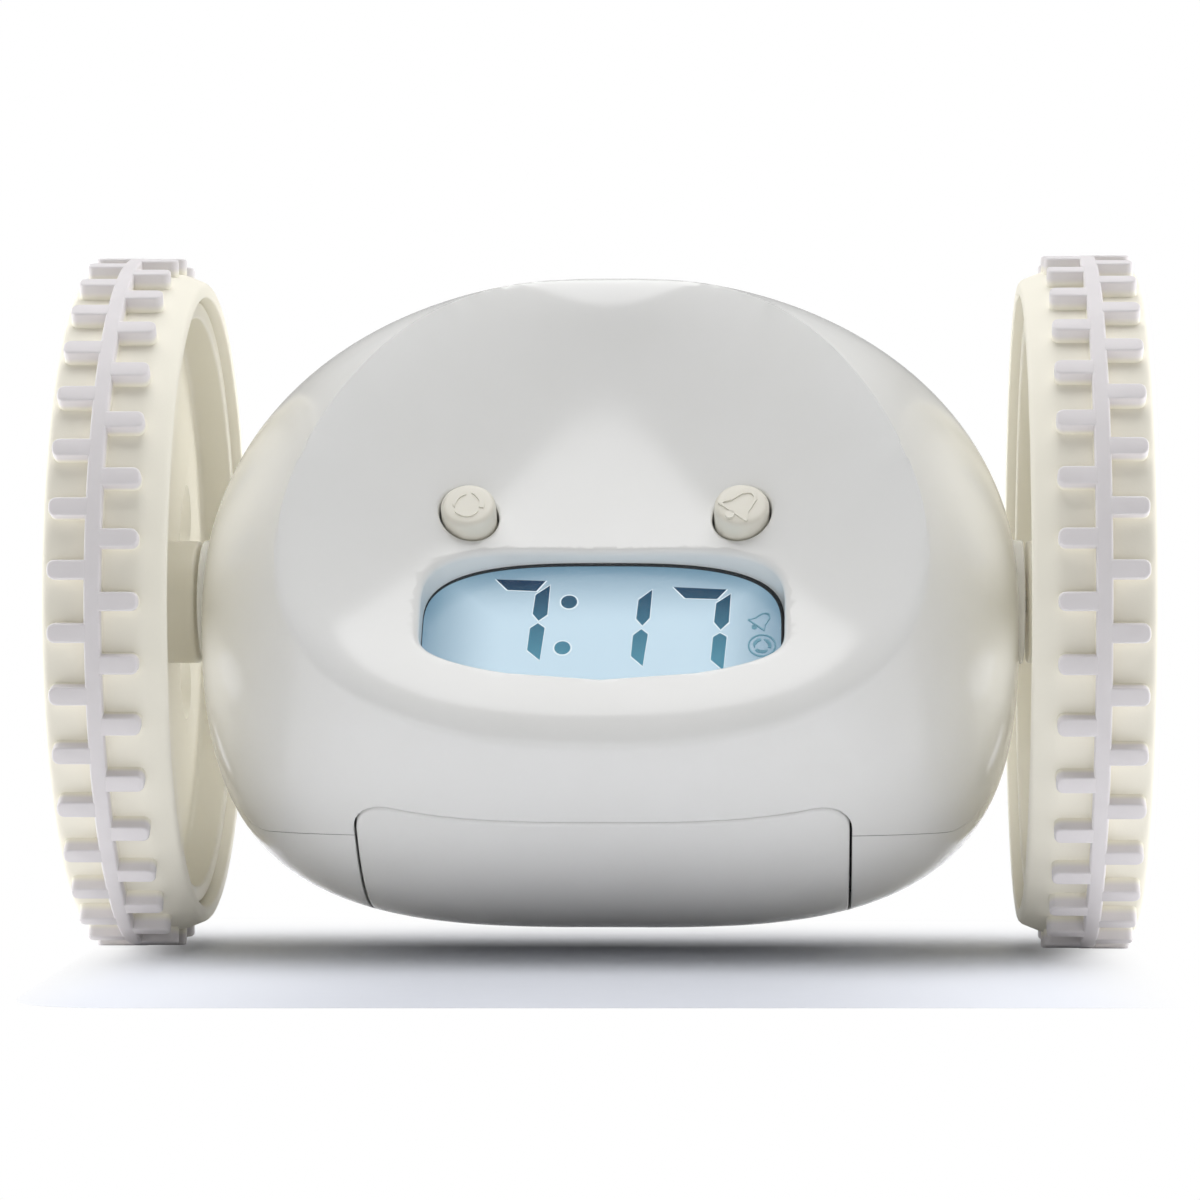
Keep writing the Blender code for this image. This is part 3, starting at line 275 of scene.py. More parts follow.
def body_reach(ways, inset=0.0):
    """Distance from the middle of the axle to the body's surface, the egg and its face rolled together."""
    egg = egg_reach(ways, inset)
    soft = np.interp(egg * ways[:, 2], RIM_HEIGHTS, RIM_SOFTNESS)
    near, far = np.zeros(len(ways)), egg + soft
    for _ in range(28):
        middle = (near + far) / 2
        out = past_face(ways * middle[:, None], inset) > 0
        near, far = np.where(out, near, middle), np.where(out, middle, far)
    overlap = np.maximum(soft - np.abs(egg - far), 0) / soft
    return np.minimum(egg, far) - overlap ** 2 * soft / 4


def body_ball(inset, around, rings):
    """A sphere pulled out to the body's surface, its rings gathered where the face meets the egg."""
    bpy.ops.object.select_all(action="DESELECT")
    bpy.ops.mesh.primitive_uv_sphere_add(segments=around, ring_count=rings, radius=1)
    ball = bpy.context.active_object
    spots = np.array([vert.co for vert in ball.data.vertices])
    turn = np.arctan2(spots[:, 1], spots[:, 0])
    polar = np.arccos(np.clip(spots[:, 2], -1, 1)) / math.pi
    aim = math.radians(FACE_AIM)

    def ways_at(angle):
        ahead, rise = np.cos(angle), np.sin(angle) * np.sin(turn)
        forward = ahead * math.cos(aim) - rise * math.sin(aim)
        return np.stack([np.sin(angle) * np.cos(turn), forward,
                         ahead * math.sin(aim) + rise * math.cos(aim)], 1)

    near, far = np.zeros(len(spots)), np.full(len(spots), math.pi)
    for _ in range(30):
        middle = (near + far) / 2
        ways = ways_at(middle)
        on_face = past_face(ways * egg_reach(ways, inset)[:, None], inset) > 0
        near, far = np.where(on_face, middle, near), np.where(on_face, far, middle)
    rim_ring = round(0.42 * rings) / rings
    ahead = np.clip(1 - polar / rim_ring, 0, 1)
    behind = np.clip((polar - rim_ring) / (1 - rim_ring), 0, 1)
    angle = near * (1 - 0.25 * ahead - 0.75 * ahead ** 2)
    angle = angle + (math.pi - near) * (0.13 * behind + 0.87 * behind ** 2)
    ways = ways_at(angle)
    side, forward, up = (ways * body_reach(ways, inset)[:, None]).T
    places = np.stack([side, -forward, AXLE_UP + up], 1) / 1000
    ball.data.vertices.foreach_set("co", places.ravel())
    ball.data.update()
    return ball


def surface_over(stand, outline):
    """Height of the body's surface over each spot of an outline on a stand."""
    low, high = np.full(len(outline), -12.0), np.full(len(outline), 60.0)
    flat = np.array(outline)
    turn = np.array(stand)
    for _ in range(24):
        middle = (low + high) / 2
        room = np.column_stack([flat, middle, np.ones(len(flat))]) @ turn.T * 1000
        spots = np.stack([room[:, 0], -room[:, 1], room[:, 2] - AXLE_UP], 1)
        length = np.linalg.norm(spots, axis=1)
        out = length > body_reach(spots / length[:, None])
        low, high = np.where(out, low, middle), np.where(out, middle, high)
    return low


def mouth(outline, bottom, soft, stand):
    """Cutter for an opening whose edge is rolled over where it meets the body's surface."""
    rings = [[(*spot, bottom) for spot in outline(0)]]
    for angle in (90, 72, 54, 38, 25):
        margin = soft * (1 - math.sin(math.radians(angle)))
        fall = soft * (1 - math.cos(math.radians(angle)))
        line = outline(margin)
        rings.append([(*spot, level - fall) for spot, level in zip(line, surface_over(stand, line))])
    line = outline(margin + 0.8 * soft)
    rings.append([(*spot, level + 0.28 * soft) for spot, level in zip(line, surface_over(stand, line))])
    rings.append([(x, y, FAR) for x, y, _ in rings[-1]])
    return through(rings, stand)


def circle_outline(radius, spot, count=48):
    def outline(margin):
        turns = [2 * math.pi * step / count for step in range(count)]
        return [(spot[0] + (radius + margin) * math.cos(turn), spot[1] + (radius + margin) * math.sin(turn))
                for turn in turns]
    return outline


def window_outline(margin, count=96):
    """The display's opening: round shoulders above, tight corners and a bowed edge below."""
    outline = []
    for step in range(count):
        turn = 2 * math.pi * step / count
        power, bow, reach = (2 / 3, 0, WINDOW_ABOVE) if turn < math.pi else (2 / 8, 0.27, WINDOW_BELOW)
        across, along = math.cos(turn), math.sin(turn)
        across = math.copysign(abs(across) ** power, across)
        along = math.copysign(abs(along) ** power, along) * (1 - bow * across ** 2)
        outline.append((across * (WINDOW_WIDTH / 2 + margin), along * (reach + margin)))
    return outline


def door_outline(margin):
    """Rounded rectangle, with enough spots along its sides to follow the body's curve."""
    outline = []
    wide, high, corner = DOOR_WIDTH / 2 + margin, DOOR_HEIGHT / 2 + margin, DOOR_CORNER + margin
    corners = ((wide, high, 0), (-wide, high, 90), (-wide, -high, 180), (wide, -high, 270))
    for number, (x, y, start) in enumerate(corners):
        middle = (x - math.copysign(corner, x), y - math.copysign(corner, y))
        for step in range(9):
            turn = math.radians(start + 90 * step / 8)
            outline.append((middle[0] + corner * math.cos(turn), middle[1] + corner * math.sin(turn)))
        end = (outline[-1][0], outline[-1][1])
        x2, y2, _ = corners[(number + 1) % 4]
        goal = (x2 - math.copysign(corner, x2), y2) if y == y2 else (x2, y2 - math.copysign(corner, y2))
        for step in range(1, 24):
            outline.append((end[0] + (goal[0] - end[0]) * step / 24, end[1] + (goal[1] - end[1]) * step / 24))
    return outline


on_face = standing(place(0, face_forward(0, WINDOW_UP), WINDOW_UP), FACE_TILT)
on_door = standing(place(0, 0, 0), DOOR_AIM)
on_back = standing(place(0, 0, 0), 180)
on_keys = standing(place(0, 0, 0), KEY_AIM)
on_speaker = standing(place(0, 0, 0), SPEAKER_AIM)
side_on = Matrix.Translation(place(0, 0, 0)) @ Matrix(
    ((0, -1, 0), (0, 0, 1), (-1, 0, 0))).transposed().to_4x4() @ Matrix.Scale(0.001, 4)


def seam_forward(up):
    return SEAM_FORWARD - max(up - SEAM_KNEE_UP, 0) * math.tan(math.radians(SEAM_LEAN))


def seam_block(shift):
    """All that lies behind and under the parting line."""
    line = [(seam_forward(FAR), FAR), (SEAM_FORWARD, SEAM_KNEE_UP)]
    for step in range(9):
        turn = math.radians(180 + 90 * step / 8)
        line.append((SEAM_FORWARD + SEAM_CORNER * (1 + math.cos(turn)),
                     SEAM_UP + SEAM_CORNER * (1 + math.sin(turn))))
    line += [(FAR, SEAM_UP), (FAR, -FAR), (-FAR, -FAR), (-FAR, FAR)]
    return slab([(forward - shift, up - shift) for forward, up in line], -FAR, FAR, side_on)


cavity = body_ball(WALL, *CAVITY_MESH)
kept = [slab(window_outline(SLEEVE_WALL), -WINDOW_DEPTH, 20, on_face)]
openings = [mouth(window_outline, -20, 0.8, on_face)]
bosses = []
for sign in (-1, 1):
    spot = (sign * BUTTON_SIDE, BUTTON_ABOVE)
    kept.append(rod(BUTTON_RADIUS + GAP + GUIDE_WALL, -1.2, 20, on_face, spot))
    openings.append(mouth(circle_outline(BUTTON_RADIUS + GAP, spot), -20, 0.35, on_face))
    kept.append(rod(BOSS_RADIUS, BOSS_START, FAR, outward(sign)))
    openings.append(rod(BUSH_RADIUS + 0.1, BOSS_START - 1, FAR, outward(sign)))
    boss = [(0, BOSS_START, 0), (BOSS_RADIUS, BOSS_START, 0), (BOSS_RADIUS, BOSS_END, 0.5), (0, BOSS_END, 0)]
    bosses.append(turned(softened(boss), outward(sign)))
for side, up in SCREW_SPOTS:
    kept.append(rod(POST_RADIUS, -FAR, FAR, on_back, (side, -up)))
    head_seat = POST_FLOOR - seam_forward(up)
    openings.append(rod(SCREW_HEAD_RADIUS + GAP, head_seat, FAR, on_back, (side, -up)))
for side in KEY_SIDES:
    openings.append(mouth(circle_outline(KEY_RADIUS + GAP, (side, 0), 32), 30, 0.3, on_keys))
for number in range(SLOT_COUNT):
    offset = SLOT_PITCH * (number - (SLOT_COUNT - 1) / 2)
    half = math.sqrt(GRILLE_RADIUS ** 2 - offset ** 2)
    round_end = SLOT_WIDTH / 2
    slot = softened([(half, offset - round_end, round_end), (half, offset + round_end, round_end),
                     (-half, offset + round_end, round_end), (-half, offset - round_end, round_end)])
    openings.append(slab(slot, 30, FAR, on_speaker))
carve(cavity, "DIFFERENCE", *kept)

whole = body_ball(0, *BODY_MESH)
door_blank = twin(whole)
carve(whole, "UNION", *bosses)
openings.append(mouth(lambda margin: door_outline(GAP + margin), 14, 0.25, on_door))
carve(whole, "DIFFERENCE", cavity, *openings)
front = carve(twin(whole), "DIFFERENCE", seam_block(0))
rear = carve(whole, "INTERSECT", seam_block(SEAM_GAP))


def linear(hex_colour):
    """An sRGB colour as the shaders take it."""
    parts = [int(hex_colour[start:start + 2], 16) / 255 for start in (0, 2, 4)]
    return [part / 12.92 if part <= 0.04045 else ((part + 0.055) / 1.055) ** 2.4 for part in parts] + [1]


def feed(material, node, inputs):
    """Set a node's inputs. Each is a value, or a node and the name or number of its output."""
    for name, value in inputs.items():
        if isinstance(value, tuple):
            material.node_tree.links.new(value[0].outputs[value[1]], node.inputs[name])
        else:
            node.inputs[name].default_value = value


def add_node(material, kind, settings, inputs):
    node = material.node_tree.nodes.new(kind)
    for name, value in settings.items():
        setattr(node, name, value)
    feed(material, node, inputs)
    return node


def blank_material(name):
    material = bpy.data.materials.new(name)
    material.use_nodes = True
    return material, material.node_tree.nodes["Principled BSDF"]


def axes(material, space="Object"):
    where = add_node(material, "ShaderNodeTexCoord", {}, {})
    return add_node(material, "ShaderNodeSeparateXYZ", {}, {"Vector": (where, space)})


def pattern(material, kind, scale, settings=None, output="Fac", **more):
    """A texture that runs all through the piece, finer for a larger scale."""
    where = add_node(material, "ShaderNodeTexCoord", {}, {})
    inputs = {"Vector": (where, "Object"), "Scale": scale, **more}
    return add_node(material, f"ShaderNodeTex{kind}", settings or {}, inputs), output


def maths(material, operation, *values):
    node = add_node(material, "ShaderNodeMath", {"operation": operation}, dict(enumerate(values)))
    return node, "Value"


def ramp(material, source, low, high, bottom=0.0, top=1.0, curve="SMOOTHSTEP"):
    """Runs from bottom to top while the source runs from low to high."""
    inputs = {"Value": source, "From Min": low, "From Max": high, "To Min": bottom, "To Max": top}
    return add_node(material, "ShaderNodeMapRange", {"interpolation_type": curve}, inputs), "Result"


def mix_colours(material, share, low, high):
    """Two colours mixed by a share. Each is a hex colour, or a node and its output."""
    low, high = [linear(colour) if isinstance(colour, str) else colour for colour in (low, high)]
    inputs = {"Factor": share, 6: low, 7: high}
    return add_node(material, "ShaderNodeMix", {"data_type": "RGBA"}, inputs), 2


def show_both(material, share, first, second):
    """Cover the surface with a mix of two shaders."""
    both = add_node(material, "ShaderNodeMixShader", {}, {"Fac": share, 1: first, 2: second})
    feed(material, material.node_tree.nodes["Material Output"], {"Surface": (both, "Shader")})


def moulded_plastic(name, pale, deep, grain, depth, roughness, drift=9.0):
    """A moulded plastic. Its colour drifts a little over some millimetres, where the melt flowed, and its
    skin copies the tool's grain, whose size and depth are in millimetres."""
    material, shader = blank_material(name)
    flow = pattern(material, "Noise", 1000 / drift, Detail=3.0)
    skin = pattern(material, "Noise", 1000 / grain, Detail=4.0)
    bump = add_node(material, "ShaderNodeBump", {},
                    {"Height": skin, "Strength": 0.6, "Distance": depth / 1000})
    feed(material, shader, {
        "Base Color": mix_colours(material, flow, pale, deep), "Normal": (bump, "Normal"), "IOR": 1.53,
        "Roughness": ramp(material, skin, 0.0, 1.0, roughness - 0.03, roughness + 0.03, "LINEAR")})
    return material


# Polished tool, so the skin shines, with a faint orange peel about 0.5 mm across and a microns-deep wave.
glossy_abs = moulded_plastic("moulded_ivory_abs", "EEEEED", "EAEAE8", 0.5, 0.003, 0.14)
finished(front, "casing_front", glossy_abs, "clock_body", "ivory_abs", "front_shell", angle=30)
finished(rear, "casing_rear", glossy_abs, "clock_body", "ivory_abs", "rear_shell", angle=30)


# Battery door. A lid of the same ABS, cut to the casing's own curve, that drops into its opening under the
# face and is prised out by a finger notch in its lower edge.

DOOR_EDGE = 0.35


def lid_block():
    """What is kept of the body for the lid: straight sides, rolled over just under the surface."""
    rings = [[(*spot, 14.0) for spot in door_outline(0)]]
    for inset, fall in ((0, 1), (0.09, 0.58), (0.36, 0.23), (0.58, 0.09), (1.3, -0.24)):
        line = door_outline(-inset * DOOR_EDGE)
        levels = surface_over(on_door, line)
        rings.append([(*spot, level - fall * DOOR_EDGE) for spot, level in zip(line, levels)])
    rings.append([(x, y, FAR) for x, y, _ in rings[-1]])
    return through(rings, on_door)


lid_hollow = body_ball(WALL, *CAVITY_MESH)
notch_top = -DOOR_HEIGHT / 2 + NOTCH_HEIGHT
notch_foot = -DOOR_HEIGHT / 2 - 4
notch = softened([(NOTCH_WIDTH / 2, notch_foot, 0), (NOTCH_WIDTH / 2, notch_top, NOTCH_CORNER),
                  (-NOTCH_WIDTH / 2, notch_top, NOTCH_CORNER), (-NOTCH_WIDTH / 2, notch_foot, 0)])
carve(door_blank, "INTERSECT", lid_block())
carve(door_blank, "DIFFERENCE", lid_hollow, slab(notch, 20, FAR, on_door))
finished(door_blank, "battery_lid", glossy_abs, "battery_door", "ivory_abs", "battery_door", angle=30)


# Display. A liquid crystal cell behind a clear acrylic lens that sits in the window's sleeve, lit from behind
# by a pale blue light guide. The figures are shapes in the cell that turn dark when they are driven.

READOUT_LEVEL = -2.4
FIGURE_THICKNESS = 0.06
TIME_SEGMENTS = [
    [(-13.60, 7.74), (-7.44, 7.50), (-8.56, 5.91), (-12.13, 6.10)],
    [(-6.82, 6.80), (-7.03, 2.19), (-8.09, 1.26), (-8.86, 2.32), (-8.61, 5.26)],
    [(-8.15, .80), (-7.28, .06), (-7.72, -4.95), (-9.34, -3.35), (-9.11, .01)],
    [(5.96, 6.09), (5.72, 1.68), (4.84, .47), (4.05, 1.54), (4.27, 4.51)],
    [(4.71, -.13), (5.56, -.91), (5.02, -5.85), (3.53, -4.30), (3.71, -1.09)],
    [(8.63, 6.51), (15.20, 6.14), (14.05, 4.65), (10.09, 4.79)],
    [(15.76, 5.44), (15.56, 1.03), (14.55, -.17), (13.73, 1.03), (13.95, 3.95)],
    [(14.48, -.72), (15.33, -1.32), (14.95, -6.48), (13.38, -4.85), (13.62, -1.37)],
]
TIME_DOTS = [(-4.38, 4.18), (-4.98, -3.03)]
DOT_RADIUS = 1.0
BELL_SPOT = (19.6, 1.3)
BELL_LEAN = -40
REPEAT_SPOT = (19.7, -2.65)
REPEAT_RADIUS = 1.65
HALO = 0.2
BELL_SIZE = 2.7
BELL_LINE = 0.22
LENS_LOW = -2.1
LENS_HIGH = -1.2


def grown_outline(outline, margin):
    """An outline's corners moved out from its middle."""
    middle = Vector((sum(x for x, _ in outline), sum(y for _, y in outline))) / len(outline)
    return [tuple(middle + (Vector(spot) - middle) * (1 + margin / (Vector(spot) - middle).length))
            for spot in outline]


def joined(pieces):
    only(*pieces)
    bpy.ops.object.join()
    return bpy.context.active_object


def flat_ring(radius, width, spot, low, high, steps=48):
    """A flat ring, as an outline out along its edge and back along its inner edge, split by a hair."""
    turns = [math.radians(359.9 * step / steps) for step in range(steps + 1)]
    edge, inner = [[(spot[0] + reach * math.cos(turn), spot[1] + reach * math.sin(turn)) for turn in turns]
                   for reach in (radius + width / 2, radius - width / 2)]
    return slab(edge + inner[::-1], low, high, on_face)


def bell_outline(spot, size):
    """A bell seen from the side, its rim flared and its crown round, swung over to the right."""
    half = [(0.0, 0.52), (0.13, 0.47), (0.24, 0.34), (0.29, 0.12), (0.34, -0.12), (0.5, -0.34), (0.5, -0.4)]
    shape = half + [(-x, y) for x, y in half[:0:-1]]
    swing = math.radians(BELL_LEAN)
    return [(spot[0] + size * (x * math.cos(swing) - y * math.sin(swing)),
             spot[1] + size * (x * math.sin(swing) + y * math.cos(swing))) for x, y in shape]


def bell(spot, size, line, low, high):
    """The bell as a line round its outline, and the ball of its clapper."""
    swing = math.radians(BELL_LEAN)
    hollow = slab(bell_outline(spot, size - 2 * line), low - 1, high + 1, on_face)
    ball = (spot[0] + 0.5 * size * math.sin(swing), spot[1] - 0.5 * size * math.cos(swing))
    return [carve(slab(bell_outline(spot, size), low, high, on_face), "DIFFERENCE", hollow),
            rod(0.13 * size, low, high, on_face, ball, sides=24)]


def chasing_arrows(spot, radius, width, low, high):
    """Three arcs in a ring, each drawn out to a point that follows the next one."""
    arrows = []
    for start in (100, 220, 340):
        outer, inner = [], []
        for step in range(17):
            turn = math.radians(start + 98 * step / 16)
            half = width / 2 * min(1, (16 - step) / 6 + 0.12)
            for edge, reach in ((outer, radius + half), (inner, radius - half)):
                edge.append((spot[0] + reach * math.cos(turn), spot[1] + reach * math.sin(turn)))
        arrows.append(slab(outer + inner[::-1], low, high, on_face))
    return arrows


def readout(level, high, extra):
    pieces = [slab(grown_outline(segment, extra) if extra else segment, level, high, on_face)
              for segment in TIME_SEGMENTS]
    pieces += [rod(DOT_RADIUS + extra, level, high, on_face, spot, sides=32) for spot in TIME_DOTS]
    return pieces


def icons(level, high):
    """The alarm bell, and three arrows chasing round in a ring."""
    return (bell(BELL_SPOT, BELL_SIZE, BELL_LINE, level, high)
            + chasing_arrows(REPEAT_SPOT, 0.95, 0.42, level, high)
            + [flat_ring(REPEAT_RADIUS, 0.2, REPEAT_SPOT, level, high)])


# Driven liquid crystal looks navy, and paler and greener towards the foot of the window, where more of the
# light guide's glow comes through it.
driven, shader = blank_material("driven_liquid_crystal")
fade = ramp(driven, (axes(driven), "Z"), 0.0375, 0.0475, curve="LINEAR")
feed(driven, shader, {"Base Color": mix_colours(driven, fade, "5B9DB6", "04325C"), "Roughness": 0.35,
                      "Specular IOR Level": 0.02})

# Round each driven shape a pale edge glows brighter than the rest of the cell: a painted glow.
painted_halo_glow, shader = blank_material("painted_glow_liquid_crystal")
cloud = pattern(painted_halo_glow, "Noise", 250.0)
feed(painted_halo_glow, shader, {"Emission Color": mix_colours(painted_halo_glow, cloud, "D8EAF3", "E2F0F7"),
                         "Emission Strength": 0.9, "Base Color": linear("30363A"), "Roughness": 0.4})

halo = joined(readout(READOUT_LEVEL, READOUT_LEVEL + FIGURE_THICKNESS, HALO))
finished(halo, "readout_halo", painted_halo_glow, "clock_body", "display_glass")
figures = joined(readout(READOUT_LEVEL + FIGURE_THICKNESS / 2, READOUT_LEVEL + 2 * FIGURE_THICKNESS, 0))
finished(figures, "readout_figures", driven, "clock_body", "display_glass")

# The two signs at the right are drawn in lines too thin to turn quite dark.
faint, shader = blank_material("thinly_driven_liquid_crystal")
cloud = pattern(faint, "Noise", 400.0)
feed(faint, shader, {"Base Color": mix_colours(faint, cloud, "6FA3B8", "7FB2C4"), "Roughness": 0.4,
                     "Specular IOR Level": 0.02})
signs = joined(icons(READOUT_LEVEL + FIGURE_THICKNESS / 2, READOUT_LEVEL + 2 * FIGURE_THICKNESS))
finished(signs, "readout_signs", faint, "clock_body", "display_glass")

# The cell is pale blue, with painted shade at its top and its ends: there the window's recess overhangs the
# cell and its shadow falls on it.
cell_glass, shader = blank_material("backlit_display_glass")
parts = axes(cell_glass)
end_shade = ramp(cell_glass, maths(cell_glass, "ABSOLUTE", (parts, "X")), 0.012, 0.024)
top = ramp(cell_glass, (parts, "Z"), 0.0415, 0.0500)
recess_shade = maths(cell_glass, "MAXIMUM", end_shade, top)
feed(cell_glass, shader, {"Emission Color": mix_colours(cell_glass, recess_shade, "BBD6E6", "648BA3"),
                          "Emission Strength": 0.9, "Base Color": linear("30363A"), "Roughness": 0.3})

# Clear acrylic, polished on both sides, so it shows only as a faint gloss and a slight cold tint.
clear_lens, shader = blank_material("clear_acrylic_lens")
haze = pattern(clear_lens, "Noise", 600.0)
feed(clear_lens, shader, {"Roughness": ramp(clear_lens, haze, 0.0, 1.0, 0.03, 0.07, "LINEAR"),
                          "Base Color": linear("E9F2F6"), "Alpha": 0.02, "IOR": 1.49})

# The light guide is a sheet of milky acrylic.
light_guide = moulded_plastic("milky_light_guide", "D9EAF2", "CFE3EE", 0.8, 0.002, 0.4)


def dress(material, *nodes):
    """Give CAD nodes that stay as they are a material."""
    for node in nodes:
        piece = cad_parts[node]
        piece.data.materials.clear()
        piece.data.materials.append(material)


lens = slab(window_outline(-GAP), LENS_LOW, LENS_HIGH, on_face)
finished(lens, "window_lens", clear_lens, "clock_body", "clear_acrylic", "display_lens")

# A thin black strip between the sleeve and the cell, set a little to the left, so a dark line of it shows
# along the window's upper edge and its right end: a painted shadow of the window's recess on the cell.
shadow_strip_black = moulded_plastic("painted_shadow_black", "141516", "1E1F21", 0.2, 0.02, 0.8)
shadow_strip = slab(window_outline(0.9), READOUT_LEVEL, LENS_LOW - 0.02, on_face)
slid = on_face @ Matrix.Translation((-0.2, -0.05, 0))
carve(shadow_strip, "DIFFERENCE", slab(window_outline(-0.25), READOUT_LEVEL - 1, LENS_LOW + 1, slid))
finished(shadow_strip, "window_shadow_strip", shadow_strip_black, "clock_body", "black_plastic")

dress(cell_glass, "lcd_panel")
dress(light_guide, "lcd_backlight")


# Face buttons. Two round caps of creamier ABS stand in guide tubes above the window, each with a raised sign:
# arrows chasing round for snooze on the left, and a bell for the alarm on the right.

BUTTON_PROUD = 2.1
BUTTON_EDGE = 0.75
BUTTON_FLANGE_TOP = -1.5
BUTTON_FLANGE_RADIUS = 4.1
BUTTON_STEM_RADIUS = 1.6
BUTTON_STEM_END = -2.9
SIGN_RISE = 0.16
PANEL_EDGE = 10.8

cream_abs = moulded_plastic("moulded_cream_abs", "E6E3D8", "E2DED1", 0.4, 0.003, 0.34)
for sign, hand in ((-1, "snooze"), (1, "alarm")):
    spot = (sign * BUTTON_SIDE, BUTTON_ABOVE)
    top = float(surface_over(on_face, [spot])[0]) + BUTTON_PROUD
    section = [(0, top, 0), (BUTTON_RADIUS * 0.55, top, 0.5), (BUTTON_RADIUS, top - 0.12, BUTTON_EDGE),
               (BUTTON_RADIUS, BUTTON_FLANGE_TOP, 0.1), (BUTTON_FLANGE_RADIUS, BUTTON_FLANGE_TOP, 0.15),
               (BUTTON_FLANGE_RADIUS, BUTTON_FLANGE_TOP - 0.8, 0.15),
               (BUTTON_STEM_RADIUS, BUTTON_FLANGE_TOP - 0.8, 0.1), (BUTTON_STEM_RADIUS, BUTTON_STEM_END, 0.2),
               (0, BUTTON_STEM_END, 0)]
    cap = turned(softened(section, 5), on_face @ Matrix.Translation((*spot, 0)))
    flat = [(spot[0] - 9, PANEL_EDGE), (spot[0] + 9, PANEL_EDGE), (spot[0] + 9, PANEL_EDGE - 6),
            (spot[0] - 9, PANEL_EDGE - 6)]
    carve(cap, "DIFFERENCE", slab(flat, -9, -1.2, on_face))
    low, high = top - 0.5, top + SIGN_RISE
    if hand == "alarm":
        signs = bell(spot, 4.6, 0.42, low, high)
    else:
        signs = chasing_arrows(spot, 1.75, 0.62, low, high)
    cap = joined([cap] + signs)
    finished(cap, f"{hand}_cap", cream_abs, f"{hand}_button", "cream_abs", f"{hand}_button")


# Boards, switches and speaker, all inside. Glass-fibre laminate under green solder mask, moulded switches and
# speaker frame, and a pressed paper cone in front of a plated magnet.

# Solder mask over woven glass: the 0.5 mm weave of the cloth just shows through the green.
WEAVE_SCALE = 100.0
board, shader = blank_material("solder_masked_laminate")
bands = {"wave_type": "BANDS", "bands_direction": "X"}
weave = pattern(board, "Wave", WEAVE_SCALE, bands, Distortion=0.4)
feed(board, shader, {"Base Color": mix_colours(board, weave, "1F5A2E", "27693A"), "Roughness": 0.35})

black_moulding = moulded_plastic("moulded_black_plastic", "1B1B1C", "232324", 0.3, 0.006, 0.5)

# Pressed paper: fibres about a millimetre long lie every way in the black pulp.
cone_paper, shader = blank_material("pressed_cone_paper")
fibres = pattern(cone_paper, "Noise", 1000.0, Detail=6.0, Distortion=1.5)
rough = add_node(cone_paper, "ShaderNodeBump", {}, {"Height": fibres, "Strength": 0.7, "Distance": 0.00005})
feed(cone_paper, shader, {"Base Color": mix_colours(cone_paper, fibres, "17171A", "34343A"),
                          "Normal": (rough, "Normal"), "Roughness": 0.9})


def drawn_metal(name, pale, deep, line, roughness):
    """Drawn or turned metal: fine lines run along the axle, spaced by some tenths of a millimetre."""
    material, shader = blank_material(name)
    where = add_node(material, "ShaderNodeTexCoord", {}, {})
    stretch = add_node(material, "ShaderNodeMapping", {},
                       {"Vector": (where, "Object"), "Scale": Vector((0.05, 1, 1))})
    lines = add_node(material, "ShaderNodeTexNoise", {},
                     {"Vector": (stretch, "Vector"), "Scale": 1000 / line, "Detail": 3.0}), "Fac"
    feed(material, shader, {
        "Base Color": mix_colours(material, lines, pale, deep), "Metallic": 1.0,
        "Roughness": ramp(material, lines, 0.0, 1.0, roughness - 0.06, roughness + 0.06, "LINEAR")})
    return material


plated_steel = drawn_metal("plated_steel", "D2D3D4", "BFC0C3", 0.2, 0.28)
dress(board, "main_pcb", "key_board")
dress(black_moulding, "snooze_switch", "alarm_switch", "speaker_frame")
dress(cone_paper, "speaker_cone")
dress(plated_steel, "speaker_magnet")


# Battery tray, cells and contacts. A black moulded tray closes the bay off from the works; four AAA cells lie
# across it in two layers, between sprung steel plates at its ends.

# Printed film shrunk round the cell: charcoal with one copper-coloured band, 9 mm wide, at one end of each.
jacket, shader = blank_material("printed_cell_jacket")
band = maths(jacket, "GREATER_THAN", maths(jacket, "ABSOLUTE", (axes(jacket), "X")), 0.0130)
feed(jacket, shader, {"Base Color": mix_colours(jacket, band, "2B2F36", "B0713F"), "Metallic": 0.5,
                      "Roughness": 0.3})

dress(black_moulding, "battery_tray")
dress(jacket, *[f"battery_{number}" for number in (1, 2, 3, 4)])
dress(plated_steel, "battery_contact_left", "battery_contact_right")


# Drive of each wheel. A small canned motor, a pinion and two compound gears of natural nylon between moulded
# plates, and a sintered bronze bush that carries the axle in the casing's end boss.

gear_nylon = moulded_plastic("natural_nylon", "E9E6DA", "DEDACA", 0.25, 0.003, 0.45)
motor_can = drawn_metal("drawn_motor_can", "D9DADB", "C8C9CC", 0.35, 0.3)

# Sintered bronze: pressed powder, so pores about 0.1 mm across speckle its brown gold.
bronze, shader = blank_material("sintered_bronze")
pores = pattern(bronze, "Voronoi", 5000.0, output="Distance")
feed(bronze, shader, {"Base Color": mix_colours(bronze, pores, "8A6334", "B98A4E"), "Metallic": 1.0,
                      "Roughness": 0.45})

for hand in ("left", "right"):
    dress(gear_nylon, f"output_gear_{hand}", f"compound_gear_1_{hand}", f"compound_gear_2_{hand}",
          f"motor_pinion_{hand}")
    dress(motor_can, f"motor_{hand}")
    dress(plated_steel, f"gear_pin_1_{hand}", f"gear_pin_2_{hand}", f"wheel_axle_{hand}")
    dress(black_moulding, f"gearbox_inner_plate_{hand}", f"gearbox_outer_plate_{hand}")
    dress(bronze, f"axle_bush_{hand}")


# Wheels. A disc of cream ABS with a collar, six petal openings and a deep rim carries a soft tyre, moulded in
# pale rubber with a rib round its middle and a row of lugs at each side of it, half a pitch apart.

